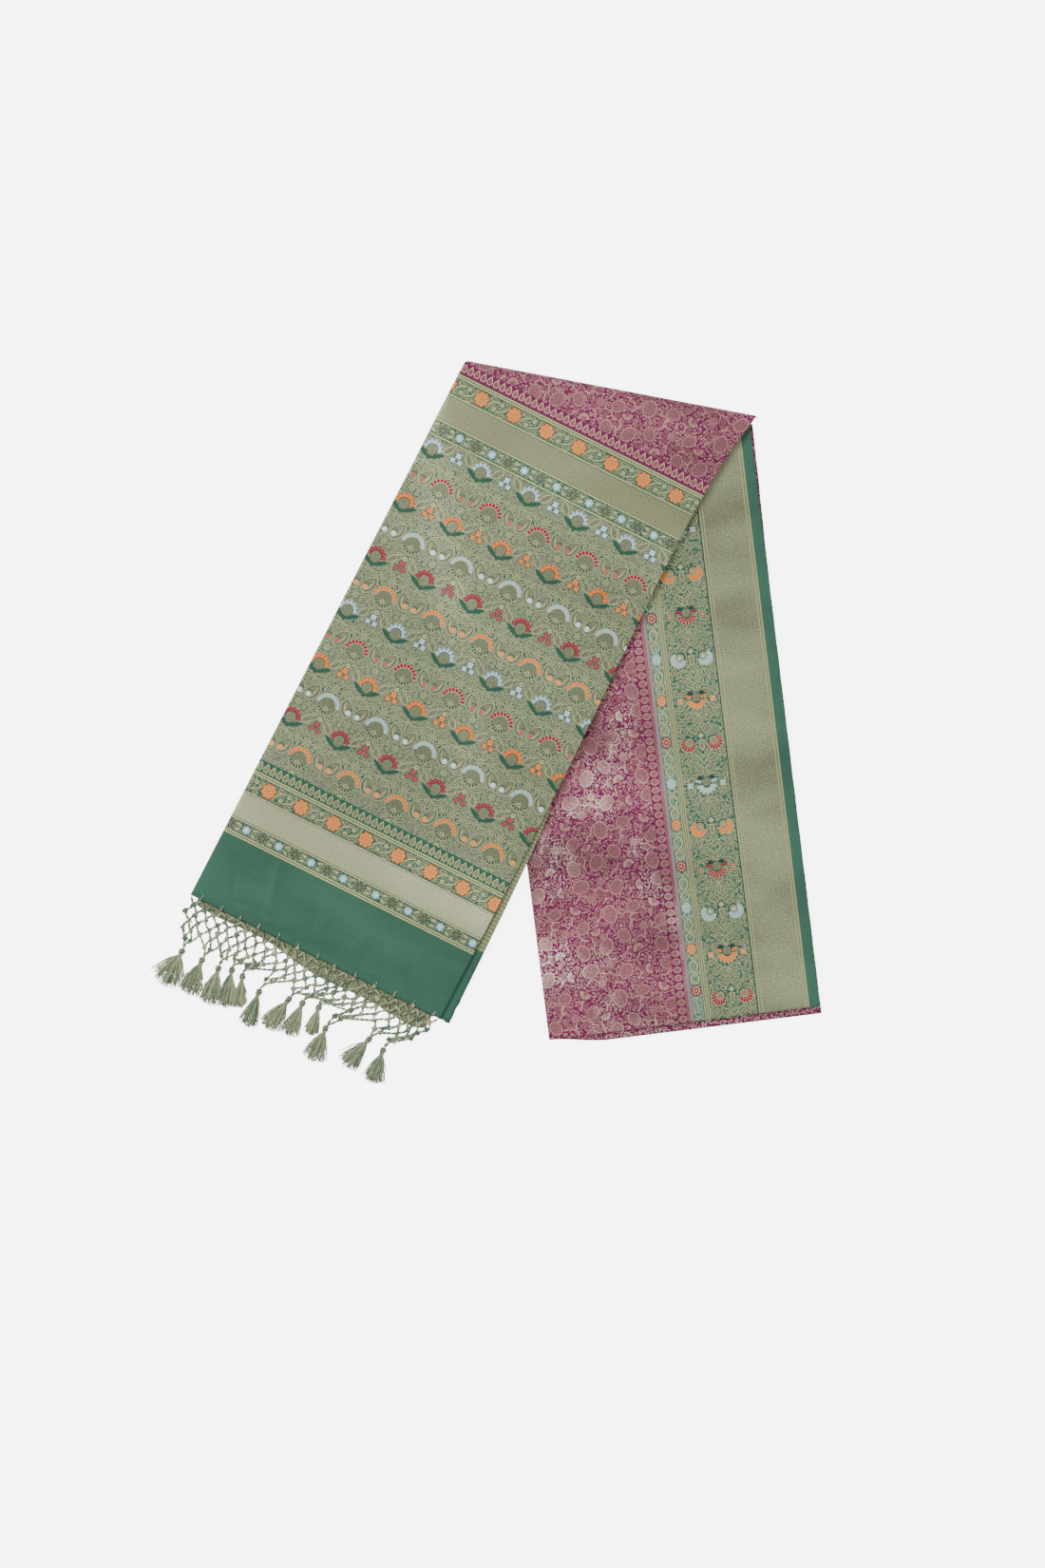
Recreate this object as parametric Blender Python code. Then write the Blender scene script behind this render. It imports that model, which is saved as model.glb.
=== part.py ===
# A silk brocade sari, folded in four across its width and in four along its length,
# then doubled once on a slanting fold and laid flat as an upside-down V.
# Metres, +X to the right, +Y up the cloth, +Z up. The origin is the bottom centre of the whole.

import math
import random

import bmesh
import bpy
from mathutils import Vector

MM = 0.001

# The cloth and the pile of hidden layers under each top layer
CLOTH = 1.0 * MM
CLEAR = 0.3 * MM
PILE = 6.0 * MM
LEG_HEIGHT = PILE + CLEAR + CLOTH
EDGE_ROLL = 1.5 * MM
ROLL_STEPS = 3

# The slanting fold, along the middle of its roll
FOLD_LEFT = Vector((-0.0259, 0.3786))
FOLD_LENGTH = 0.3141
FOLD_ANGLE = math.radians(-10.75)
FOLD_AXIS_HEIGHT = LEG_HEIGHT + 0.15 * MM
FOLD_WRAP = math.radians(125)
FOLD_WRAP_STEPS = 5
FOLD_CORE_WRAP = math.radians(75)
FOLD_CORE_STEPS = 3
UNDER_FOLD_REACH = 5.6 * MM

# The pallu leg, which lies on top. Its right edge draws in by the waist's size, most of all at
# that share of its length, and it stays level that far past the leg below before it comes down
PALLU_LEFT_EDGE = 0.6313
PALLU_LEFT_ANGLE = math.radians(-117.28)
HEM_LENGTH = 0.2965
HEM_ANGLE = math.radians(-26.5)
PALLU_WAIST = 10.4 * MM
PALLU_WAIST_AT = 0.8
PALLU_STEPS = 20
PALLU_ACROSS_STEPS = 14
CARRY = 16.0 * MM
RAMP = 56.0 * MM

# The body leg, which lies underneath
BODY_LEFT_EDGE = 0.7215
BODY_LEFT_ANGLE = math.radians(-82.64)
BODY_END = 0.2906
BODY_END_ANGLE = math.radians(7.1)
BODY_STEPS = 10
BODY_ACROSS_STEPS = 8
BODY_FOLD_LEFT_INSET = 1.5 * MM
BODY_FOLD_RIGHT_INSET = 3.0 * MM

# Layers that show beyond the top layer: each is held in a slot between the hidden layers
SLOT_HOLD = 5.5 * MM
SLOT_LAYER = 2.4 * MM
PALLU_UNDER_SHOW = 11.2 * MM
PALLU_UNDER_TAPER = 0.96
PALLU_UNDER_STEPS = 7
BODY_UNDER_END_SHOW = 7.5 * MM
BODY_UNDER_END_LEAST = 0.4 * MM
BODY_UNDER_END_GROWS = 0.22
BODY_UNDER_END_STEPS = 14
BODY_UNDER_SIDE_SHOW = 3.0 * MM
BODY_UNDER_SIDE_LEAST = 0.9 * MM
BODY_UNDER_SIDE_GROWS = 0.7
BODY_UNDER_SIDE_TOP = 0.985
BODY_UNDER_SIDE_STEPS = 12
INNER_END_SHOW = 19.0 * MM
INNER_END_LEAST = 6.0 * MM
INNER_END_GROWTH = 1.25
INNER_END_WAVE = 2.2 * MM
INNER_END_WAVES = 15.0
INNER_END_DROP = 11.0 * MM
INNER_END_INSET = 0.03
INNER_END_CORNER = 0.1
INNER_END_STEPS = 26
INNER_END_DEEP_STEPS = 5

# The edge of a pile from the bottom up: rounded folds, a slot, and a ledge under the top layer
PILE_EDGE = (
    {"height": 0.0, "inset": 1.2},
    {"height": 0.7, "inset": 0.3},
    {"height": 1.5, "inset": 0.3},
    {"height": 1.9, "inset": 1.1},
    {"height": 2.0, "inset": 6.3},
    {"height": 3.8, "inset": 6.3},
    {"height": 3.9, "inset": 1.1},
    {"height": 4.4, "inset": 0.3},
    {"height": 5.0, "inset": 0.4},
    {"height": 5.5, "inset": 1.9},
    {"height": 6.0, "inset": 2.2},
)

# The knotted net below the pallu's hem
NET_COLUMNS = 24
NET_CORD = 2.2 * MM
NET_SEED = 4
NET_JITTER = 0.9 * MM
NET_ROWS = (
    {"depth": 1.6, "pull": 0.00},
    {"depth": 9.5, "pull": 0.03},
    {"depth": 17.5, "pull": 0.10},
    {"depth": 25.5, "pull": 0.22},
    {"depth": 33.5, "pull": 0.38},
)
NET_GATHER = 0.52
NET_GATHER_OPEN = 3.6 * MM
NET_ON_FLOOR = 36.0 * MM
NET_LEAVES_CLOTH = 24.0 * MM

# The tassels, left to right: the place of each head along and below the hem, the way that
# the skirt points (degrees left of straight down the page), its length and its half spread
TASSELS = (
    {"along": 19, "below": 54, "turn": 30, "skirt": 37, "spread": 27},
    {"along": 42, "below": 53, "turn": 24, "skirt": 35, "spread": 17},
    {"along": 61, "below": 53, "turn": 17, "skirt": 36, "spread": 13},
    {"along": 74, "below": 48, "turn": 11, "skirt": 37, "spread": 9},
    {"along": 87, "below": 49, "turn": 9, "skirt": 30, "spread": 8},
    {"along": 111, "below": 56, "turn": 20, "skirt": 35, "spread": 12},
    {"along": 144, "below": 49, "turn": 37, "skirt": 35, "spread": 15},
    {"along": 158, "below": 46, "turn": 24, "skirt": 34, "spread": 12},
    {"along": 175, "below": 42, "turn": 17, "skirt": 27, "spread": 8},
    {"along": 192, "below": 59, "turn": 23, "skirt": 34, "spread": 17},
    {"along": 240, "below": 49, "turn": 43, "skirt": 35, "spread": 16},
    {"along": 257, "below": 53, "turn": 20, "skirt": 32, "spread": 15},
)
HEAD_PROFILE = (
    {"along": 2.2, "radius": 1.6},
    {"along": 4.5, "radius": 3.1},
    {"along": 7.5, "radius": 3.0},
    {"along": 9.3, "radius": 2.0},
    {"along": 11.4, "radius": 2.9},
)
HEAD_TIP = 0.5 * MM
HEAD_INNER_RING = 0.5
ROOT_REACH = 0.72
HEAD_SIDES = 6
HEAD_HEIGHT = 3.4 * MM
STRAND_STEPS = (
    {"along": 0.12, "width": 0.62},
    {"along": 0.55, "width": 0.50},
    {"along": 1.00, "width": 0.22},
)
STRAND_TIP_HEIGHT = 0.7 * MM
STRAND_TIP_LAYERING = 0.35
OUTER_STRAND_SHORTER = 0.12


def clear_scene():
    for existing in list(bpy.data.objects):
        bpy.data.objects.remove(existing, do_unlink=True)


def material(name, colour, roughness, metallic):
    made = bpy.data.materials.new(name)
    made.use_nodes = True
    shader = made.node_tree.nodes["Principled BSDF"]
    shader.inputs["Base Color"].default_value = (*colour, 1)
    shader.inputs["Roughness"].default_value = roughness
    shader.inputs["Metallic"].default_value = metallic
    return made


def node(name, bm, finish):
    """Turns a finished bmesh into one named object, with its faces pointing out."""
    bmesh.ops.recalc_face_normals(bm, faces=bm.faces)
    if bm.calc_volume(signed=True) < 0:
        bmesh.ops.reverse_faces(bm, faces=bm.faces)
    mesh = bpy.data.meshes.new(name)
    bm.to_mesh(mesh)
    bm.free()
    mesh.materials.append(finish)
    bpy.context.collection.objects.link(bpy.data.objects.new(name, mesh))


def polar(length, angle):
    return Vector((math.cos(angle), math.sin(angle))) * length


def mix(a, b, share):
    return a + (b - a) * share


def ease(share):
    held = min(max(share, 0.0), 1.0)
    return held * held * (3 - 2 * held)


# The corners of the two legs, from the driving sizes
FOLD_RIGHT = FOLD_LEFT + polar(FOLD_LENGTH, FOLD_ANGLE)
FOLD_OUTWARD = polar(1, FOLD_ANGLE + math.pi / 2)
HEM_LEFT = FOLD_LEFT + polar(PALLU_LEFT_EDGE, PALLU_LEFT_ANGLE)
HEM_RIGHT = HEM_LEFT + polar(HEM_LENGTH, HEM_ANGLE)
BODY_FOLD_LEFT = FOLD_LEFT + polar(BODY_FOLD_LEFT_INSET, FOLD_ANGLE)
BODY_FOLD_RIGHT = FOLD_RIGHT - polar(BODY_FOLD_RIGHT_INSET, FOLD_ANGLE)
BODY_LEFT = FOLD_LEFT + polar(BODY_LEFT_EDGE, BODY_LEFT_ANGLE)
BODY_RIGHT = BODY_LEFT + polar(BODY_END, BODY_END_ANGLE)
BODY_UPWARD = (BODY_FOLD_LEFT - BODY_LEFT).normalized()
PALLU_LENGTH = (FOLD_LEFT - HEM_LEFT).length
BODY_LENGTH = (BODY_FOLD_LEFT - BODY_LEFT).length


def lift(place):
    """How high the pallu leg is carried by the body leg under it. It stays level a little past
    that leg's left edge, then eases down to the floor."""
    away = place - BODY_LEFT
    left_of_body = away.y * BODY_UPWARD.x - away.x * BODY_UPWARD.y
    return (LEG_HEIGHT + CLEAR) * ease(1 - (left_of_body - CARRY) / RAMP)


def pallu_point(across, along, height):
    """A point of the pallu leg. Past 1, along turns round the fold, a half turn for each 1."""
    flat = min(along, 1.0)
    left = HEM_LEFT.lerp(FOLD_LEFT, flat)
    right = HEM_RIGHT.lerp(FOLD_RIGHT, flat)
    drawn_in = max(flat, 0.0) ** 4 * (1 - flat) / (PALLU_WAIST_AT ** 4 * (1 - PALLU_WAIST_AT))
    right = right - polar(PALLU_WAIST * drawn_in, HEM_ANGLE)
    place = left + (right - left) * across
    z = lift(place) + height
    if along > 1.0:
        turn = (along - 1.0) * math.pi
        reach = z - FOLD_AXIS_HEIGHT
        place = place + FOLD_OUTWARD * reach * math.sin(turn)
        z = FOLD_AXIS_HEIGHT + reach * math.cos(turn)
    return Vector((place.x, place.y, z))


def body_point(across, along, height):
    """A point of the body leg. Past 1, its underside rounds up inside the fold."""
    flat = min(along, 1.0)
    left = BODY_LEFT.lerp(BODY_FOLD_LEFT, flat)
    right = BODY_RIGHT.lerp(BODY_FOLD_RIGHT, flat)
    place = left + (right - left) * across
    if along > 1.0:
        turn = (along - 1.0) * math.pi
        place = place + FOLD_OUTWARD * UNDER_FOLD_REACH * math.sin(turn)
        lowest = FOLD_AXIS_HEIGHT * (1 - math.cos(turn))
        height = mix(lowest, PILE, height / PILE) if height <= PILE else height
    return Vector((place.x, place.y, height))


def slab(across_steps, along_steps, levels, place):
    """A sheet raised level by level into a closed block, whose every vertex is then placed by
    its three counts: steps across, steps along and level."""
    bm = bmesh.new()
    bmesh.ops.create_grid(bm, x_segments=across_steps, y_segments=along_steps, size=0.5)
    top = list(bm.faces)
    for level in range(levels):
        grown = bmesh.ops.extrude_face_region(bm, geom=top)["geom"]
        if level:
            covered = [face for face in top if face.is_valid]
            bmesh.ops.delete(bm, geom=covered, context="FACES")
        top = [part for part in grown if isinstance(part, bmesh.types.BMFace)]
        raised = [part for part in grown if isinstance(part, bmesh.types.BMVert)]
        bmesh.ops.translate(bm, verts=raised, vec=(0, 0, 1))
    for vert in bm.verts:
        across = round((vert.co.x + 0.5) * across_steps)
        along = round((vert.co.y + 0.5) * along_steps)
        vert.co = place(across, along, round(vert.co.z))
    return bm


def along_stations(flat_steps, wrap, wrap_steps):
    """Even steps up a leg, then even steps round the fold."""
    flat = [step / flat_steps for step in range(flat_steps + 1)]
    bent = [1 + wrap / math.pi * step / wrap_steps for step in range(1, wrap_steps + 1)]
    return flat + bent


def pile(point, across_steps, stations, width, length):
    """The hidden layers of a leg as one block with rounded folds along its edges."""

    def place(across, along, level):
        row = PILE_EDGE[level]
        inset = row["inset"] * MM
        share = mix(EDGE_ROLL, width - EDGE_ROLL, across / across_steps) / width
        if across == 0:
            share = inset / width
        if across == across_steps:
            share = 1 - inset / width
        station = inset / length if along == 0 else stations[along]
        return point(share, station, row["height"] * MM)

    return slab(across_steps, len(stations) - 1, len(PILE_EDGE) - 1, place)


def top_layer(point, flat_steps, stations, width, length):
    """The layer that shows: a wall whose side and end edges roll down over the pile. A row or a
    column of it lies at one turn of the rolled edge, and that share of the way over the flat."""
    turns = [90 * (1 - step / ROLL_STEPS) for step in range(ROLL_STEPS)]
    across_rows = [{"turn": turn, "over": 0.0} for turn in turns]
    across_rows += [{"turn": 0, "over": step / flat_steps} for step in range(flat_steps + 1)]
    across_rows += [{"turn": turn, "over": 1.0} for turn in reversed(turns)]
    end_turns = turns + [0]

    def place(across, along, level):
        radius = EDGE_ROLL if level else EDGE_ROLL - CLOTH
        row = across_rows[across]
        side_turn = math.radians(row["turn"])
        side = EDGE_ROLL - radius * math.sin(side_turn)
        share = mix(EDGE_ROLL, width - EDGE_ROLL, row["over"]) / width
        if row["turn"]:
            share = side / width if row["over"] == 0 else 1 - side / width
        end_turn = math.radians(end_turns[along] if along < len(end_turns) else 0)
        if along < len(end_turns):
            station = (EDGE_ROLL - radius * math.sin(end_turn)) / length
        else:
            station = stations[along - len(end_turns) + 1]
        height = LEG_HEIGHT - EDGE_ROLL + radius * math.cos(max(side_turn, end_turn))
        return point(share, station, height)

    rows = len(stations) - 1 + len(end_turns)
    return slab(len(across_rows) - 1, rows - 1, 1, place)


def strip_level(level):
    return SLOT_LAYER + CLOTH * level


def pallu_under():
    """The layer under the pallu, gold and then plain, that shows along its right edge."""

    def place(across, along, level):
        show = PALLU_UNDER_SHOW * math.sqrt(1 - PALLU_UNDER_TAPER * along / PALLU_UNDER_STEPS)
        edge = mix(-SLOT_HOLD, show, across / 2)
        return pallu_point(1 + edge / HEM_LENGTH, along / PALLU_STEPS, strip_level(level))

    return slab(2, PALLU_UNDER_STEPS, 1, place)


def body_under():
    """The layer under the body, which shows along its right edge and its lower end."""
    held = SLOT_HOLD / BODY_END

    def place(across, along, level):
        out = across / 2
        height = strip_level(level)
        if along < BODY_UNDER_SIDE_STEPS:
            station = BODY_UNDER_SIDE_TOP * (1 - along / BODY_UNDER_SIDE_STEPS)
            grown = ease((station - BODY_UNDER_SIDE_GROWS) / (1 - BODY_UNDER_SIDE_GROWS))
            show = mix(BODY_UNDER_SIDE_LEAST, BODY_UNDER_SIDE_SHOW, grown)
            station = max(station, SLOT_HOLD / BODY_LENGTH)
            return body_point(1 + mix(-SLOT_HOLD, show, out) / BODY_END, station, height)
        share = 1 - (along - BODY_UNDER_SIDE_STEPS) / BODY_UNDER_END_STEPS
        show = BODY_UNDER_END_SHOW * ease(share / BODY_UNDER_END_GROWS) + BODY_UNDER_END_LEAST
        station = mix(SLOT_HOLD, -show, out) / BODY_LENGTH
        if along == BODY_UNDER_SIDE_STEPS:
            share += mix(-SLOT_HOLD, BODY_UNDER_SIDE_LEAST, out) / BODY_END
        else:
            share *= 1 - held
        return body_point(max(share, held), station, height)

    return slab(2, BODY_UNDER_SIDE_STEPS + BODY_UNDER_END_STEPS, 1, place)


def inner_end_height(depth):
    """The underside of the layer below the hem, which falls from its slot to the floor."""
    return SLOT_LAYER * (1 - ease(depth / INNER_END_DROP))


def inner_end_show(share):
    """How far the layer below the hem comes out. It waves, and is rounded at its right corner."""
    wave = INNER_END_WAVE * math.sin(share * INNER_END_WAVES)
    grown = mix(INNER_END_LEAST, INNER_END_SHOW, ease(share * INNER_END_GROWTH))
    past = max(share - 1 + INNER_END_CORNER, 0) / INNER_END_CORNER
    return (grown + wave) * math.sqrt(1 - past ** 2)


def inner_end():
    """The sari's inner end, whose woven border shows under the net below the hem."""

    def place(across, along, level):
        share = mix(INNER_END_INSET, 1 - INNER_END_INSET, across / INNER_END_STEPS)
        out = mix(-SLOT_HOLD, inner_end_show(share), along / INNER_END_DEEP_STEPS)
        hem = HEM_LEFT.lerp(HEM_RIGHT, share)
        spot = hem + polar(out, HEM_ANGLE - math.pi / 2)
        return Vector((spot.x, spot.y, inner_end_height(out) + CLOTH * level))

    return slab(INNER_END_STEPS, INNER_END_DEEP_STEPS, 1, place)


def net_height(depth):
    """The net's underside: over the inner end, then down on the floor."""
    over = inner_end_height(depth) + CLOTH + CLEAR
    return mix(over, CLEAR, ease((depth - NET_LEAVES_CLOTH) / (NET_ON_FLOOR - NET_LEAVES_CLOTH)))


def hem_place(along, depth):
    return HEM_LEFT + polar(along, HEM_ANGLE) + polar(depth, HEM_ANGLE - math.pi / 2)


def head_place(column):
    """The tassel head under a column of the net, between two heads where none is right under."""
    index = min(max((column - 1) / 2, 0.0), len(TASSELS) - 1.0)
    low = min(int(index), len(TASSELS) - 2)
    before = TASSELS[low]
    after = TASSELS[low + 1]
    along = mix(before["along"], after["along"], index - low)
    below = mix(before["below"], after["below"], index - low)
    return Vector((along, below)) * MM


def net_knots():
    """Every knot of the net by row and column, in metres along and below the hem."""
    draw = random.Random(NET_SEED)
    knots = {}
    pitch = (HEM_LENGTH - 2 * NET_CORD) / NET_COLUMNS
    for row_count, row in enumerate(NET_ROWS):
        for count in range(NET_COLUMNS + 1 - row_count % 2):
            column = count + 0.5 * (row_count % 2)
            hung = Vector((NET_CORD + column * pitch, row["depth"] * MM))
            head = head_place(column)
            spot = Vector((mix(hung.x, head.x, row["pull"]), hung.y))
            if row_count:
                spot += Vector((draw.uniform(-1, 1), draw.uniform(-1, 1))) * NET_JITTER
            knots[row_count, column] = spot
    last = len(NET_ROWS) - 1
    for count, tassel in enumerate(TASSELS):
        head = Vector((tassel["along"], tassel["below"])) * MM
        middle = 2 * count + 1
        knots[last + 2, middle] = head
        for side in (-0.5, 0.5):
            above = (knots[last, middle] + knots[last, middle + 2 * side]) / 2
            gathered = above.lerp(head, NET_GATHER)
            gathered.x = mix(gathered.x, head.x + 2 * side * NET_GATHER_OPEN, 0.5)
            knots[last + 1, middle + side] = gathered
    return knots


def net_cells(knots):
    """The gaps between the cords: a row of triangles at the hem, then diamonds."""
    cells = []
    for column in range(NET_COLUMNS):
        cells.append([(0, column), (1, column + 0.5), (0, column + 1)])
    for row in range(1, len(NET_ROWS) + 1):
        for count in range(NET_COLUMNS + 1):
            column = count + 0.5 * (row % 2 == 0)
            cell = [(row - 1, column), (row, column - 0.5), (row + 1, column), (row, column + 0.5)]
            if all(key in knots for key in cell):
                cells.append(cell)
    return cells


def widen_rim(bm, rim):
    """Gives the outermost cords their other half, which the insets of the gaps leave out."""
    pushes = {}
    for edge in bm.edges:
        if not edge.is_boundary or not rim.issuperset(edge.verts):
            continue
        first, last = (vert.co for vert in edge.verts)
        way = (last - first).normalized()
        away = first - edge.link_faces[0].calc_center_median()
        away = (away - way * away.dot(way)).normalized()
        for vert in edge.verts:
            pushes[vert] = pushes.get(vert, Vector()) + away
    for vert, push in pushes.items():
        vert.co += push.normalized() * NET_CORD / 2


def net():
    """The net as one flat lattice, cut through at every gap."""
    knots = net_knots()
    bm = bmesh.new()
    verts = {}
    for key, spot in knots.items():
        verts[key] = bm.verts.new((spot.x, spot.y, 0))
    for cell in net_cells(knots):
        bm.faces.new([verts[key] for key in cell])
    bmesh.ops.recalc_face_normals(bm, faces=bm.faces)
    gaps = list(bm.faces)
    bmesh.ops.inset_individual(bm, faces=gaps, thickness=NET_CORD / 2, use_even_offset=True)
    bmesh.ops.delete(bm, geom=gaps, context="FACES")
    widen_rim(bm, {vert for key, vert in verts.items() if 0 < key[0] < len(NET_ROWS) + 1})
    grown = bmesh.ops.extrude_face_region(bm, geom=list(bm.faces))["geom"]
    raised = {part for part in grown if isinstance(part, bmesh.types.BMVert)}
    for vert in bm.verts:
        spot = hem_place(vert.co.x, vert.co.y)
        z = net_height(vert.co.y) + (NET_CORD if vert in raised else 0)
        vert.co = (spot.x, spot.y, z)
    return bm


def tassel(row):
    """A wrapped head with strands drawn out of its lower face, lying on the floor."""
    bm = bmesh.new()
    start = hem_place(row["along"] * MM, row["below"] * MM)
    down = math.radians(-90 - row["turn"])
    ahead = Vector((*polar(1, down), 0))
    aside = Vector((*polar(1, down + math.pi / 2), 0))
    base = Vector((*start, HEAD_HEIGHT))

    def ring(out, radius, sides, twist):
        spots = []
        for count in range(sides):
            angle = 2 * math.pi * (count + twist) / sides
            around = aside * math.cos(angle) + Vector((0, 0, math.sin(angle)))
            spots.append(base + ahead * out + around * radius)
        return [bm.verts.new(spot) for spot in spots]

    tip = bm.verts.new((*(base + ahead * HEAD_TIP).xy, CLEAR + NET_CORD / 2))
    rings = [ring(step["along"] * MM, step["radius"] * MM, HEAD_SIDES, 0) for step in HEAD_PROFILE]
    for count in range(HEAD_SIDES):
        after = (count + 1) % HEAD_SIDES
        bm.faces.new((tip, rings[0][count], rings[0][after]))
        for upper, lower in zip(rings, rings[1:]):
            bm.faces.new((upper[count], lower[count], lower[after], upper[after]))
    end = HEAD_PROFILE[-1]
    inner = ring(end["along"] * MM, end["radius"] * MM * HEAD_INNER_RING, HEAD_SIDES, 0.5)
    middle = bm.verts.new(base + ahead * end["along"] * MM)
    roots = []
    for count in range(HEAD_SIDES):
        after = (count + 1) % HEAD_SIDES
        roots.append(bm.faces.new((rings[-1][count], inner[count], rings[-1][after])))
        roots.append(bm.faces.new((inner[count], inner[after], rings[-1][after])))
        roots.append(bm.faces.new((inner[count], middle, inner[after])))
    bmesh.ops.recalc_face_normals(bm, faces=bm.faces)

    for root in roots:
        grow_strand(bm, root, row, base, ahead, aside)
    return bm


def grow_strand(bm, root, row, base, ahead, aside):
    """Draws one strand out of a face of the head. It fans out to its side and sinks to just
    above the floor, and strands rooted higher end higher, so that none cross."""
    head = HEAD_PROFILE[-1]
    radius = head["radius"] * MM
    rooted = root.calc_center_median() - base
    side = rooted.dot(aside)
    share = side / (radius * ROOT_REACH)
    angle = math.radians(row["spread"]) * share
    length = row["skirt"] * MM * (1 - OUTER_STRAND_SHORTER * abs(share))
    tip_up = STRAND_TIP_HEIGHT - HEAD_HEIGHT + STRAND_TIP_LAYERING * (rooted.z + radius)
    width = 1.0
    strand = root
    for step in STRAND_STEPS:
        strand = bmesh.ops.extrude_discrete_faces(bm, faces=[strand])["faces"][0]
        centre = strand.calc_center_median()
        out = length * step["along"]
        target = base + ahead * (head["along"] * MM + out * math.cos(angle))
        target += aside * (side + out * math.sin(angle))
        target.z += mix(rooted.z, tip_up, ease(step["along"]))
        for vert in strand.verts:
            vert.co = target + (vert.co - centre) * step["width"] / width
        width = step["width"]


def build():
    clear_scene()
    magenta = material("magenta silk", (0.26, 0.03, 0.10), 0.5, 0.1)
    zari = material("gold thread brocade", (0.37, 0.36, 0.22), 0.42, 0.5)
    green = material("green silk", (0.07, 0.20, 0.13), 0.5, 0.0)
    cord = material("twisted green and cream cord", (0.24, 0.32, 0.20), 0.7, 0.0)

    pallu_stations = along_stations(PALLU_STEPS, FOLD_CORE_WRAP, FOLD_CORE_STEPS)
    wall_stations = along_stations(PALLU_STEPS, FOLD_WRAP, FOLD_WRAP_STEPS)
    body_stations = along_stations(BODY_STEPS, FOLD_CORE_WRAP, FOLD_CORE_STEPS)
    body_wall_stations = along_stations(BODY_STEPS, 0, 0)

    body = (BODY_END, BODY_LENGTH)
    pallu = (HEM_LENGTH, PALLU_LENGTH)
    node("body_layers", pile(body_point, BODY_ACROSS_STEPS, body_stations, *body), magenta)
    node("body_stretch", top_layer(body_point, BODY_ACROSS_STEPS, body_wall_stations, *body), magenta)
    node("body_under_stretch", body_under(), magenta)
    node("pallu_layers", pile(pallu_point, PALLU_ACROSS_STEPS, pallu_stations, *pallu), green)
    node("pallu_stretch", top_layer(pallu_point, PALLU_ACROSS_STEPS, wall_stations, *pallu), zari)
    node("pallu_under_stretch", pallu_under(), zari)
    node("inner_end_stretch", inner_end(), zari)
    node("fringe_net", net(), cord)
    for count, row in enumerate(TASSELS):
        node(f"tassel_{count + 1:02d}", tassel(row), cord)


build()
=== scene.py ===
import cmath
import math
import random

import bmesh
import bpy
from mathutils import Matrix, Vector
from mathutils.geometry import delaunay_2d_cdt


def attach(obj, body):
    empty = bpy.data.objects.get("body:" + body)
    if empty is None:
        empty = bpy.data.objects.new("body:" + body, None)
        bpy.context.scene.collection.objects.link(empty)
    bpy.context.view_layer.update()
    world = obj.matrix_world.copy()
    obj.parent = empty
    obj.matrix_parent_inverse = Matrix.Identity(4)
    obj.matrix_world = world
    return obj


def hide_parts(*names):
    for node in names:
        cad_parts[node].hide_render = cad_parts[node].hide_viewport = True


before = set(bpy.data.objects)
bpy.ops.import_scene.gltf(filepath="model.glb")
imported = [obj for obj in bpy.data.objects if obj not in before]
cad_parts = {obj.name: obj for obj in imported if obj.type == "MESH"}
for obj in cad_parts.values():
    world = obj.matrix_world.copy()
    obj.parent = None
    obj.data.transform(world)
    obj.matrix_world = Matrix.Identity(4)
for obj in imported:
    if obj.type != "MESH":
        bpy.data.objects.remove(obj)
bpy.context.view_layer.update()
MM = 0.001

# The table: a plain pale ground that the folded sari lies flat on, seen from straight above. Its
# glow is for the camera alone, so it gives the pale tone of the ground and no light to the cloth.
VIEW_CENTRE = (0.0382, -0.0648)
VIEW_TALL = 1.6665
CLOTH_TOP = 9 * MM
TABLE_WIDE = 4
TABLE_DEPTH = -0.3 * MM
TABLE_TONE = 0.88
TABLE_GLOW = 5.4

bmesh_floor = bmesh.new()
bmesh.ops.create_grid(bmesh_floor, x_segments=1, y_segments=1, size=TABLE_WIDE)
bmesh.ops.translate(bmesh_floor, verts=bmesh_floor.verts, vec=(*VIEW_CENTRE, TABLE_DEPTH))
floor_mesh = bpy.data.meshes.new("table")
bmesh_floor.to_mesh(floor_mesh)
bmesh_floor.free()
floor = bpy.data.objects.new("table", floor_mesh)
bpy.context.collection.objects.link(floor)
paper = bpy.data.materials.new("pale table")
paper.use_nodes = True
plain = paper.node_tree.nodes["Principled BSDF"]
lit = paper.node_tree.nodes.new("ShaderNodeBsdfPrincipled")
for shader in (plain, lit):
    shader.inputs["Base Color"].default_value = (TABLE_TONE, TABLE_TONE, TABLE_TONE, 1)
    shader.inputs["Roughness"].default_value = 0.9
lit.inputs["Emission Color"].default_value = (1, 1, 1, 1)
lit.inputs["Emission Strength"].default_value = TABLE_GLOW
seen = paper.node_tree.nodes.new("ShaderNodeLightPath")
either = paper.node_tree.nodes.new("ShaderNodeMixShader")
surface = paper.node_tree.nodes["Material Output"].inputs["Surface"]
for giver, taker in ((seen.outputs["Is Camera Ray"], either.inputs[0]), (plain.outputs[0], either.inputs[1]),
                     (lit.outputs[0], either.inputs[2]), (either.outputs[0], surface)):
    paper.node_tree.links.new(giver, taker)
floor_mesh.materials.append(paper)

lens = bpy.data.cameras.new("overhead")
lens.lens = 85
lens.sensor_width = 36
camera = bpy.data.objects.new("overhead", lens)
camera.location = (*VIEW_CENTRE, CLOTH_TOP + VIEW_TALL * lens.lens / lens.sensor_width)
bpy.context.collection.objects.link(camera)
bpy.context.scene.camera = camera

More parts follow.
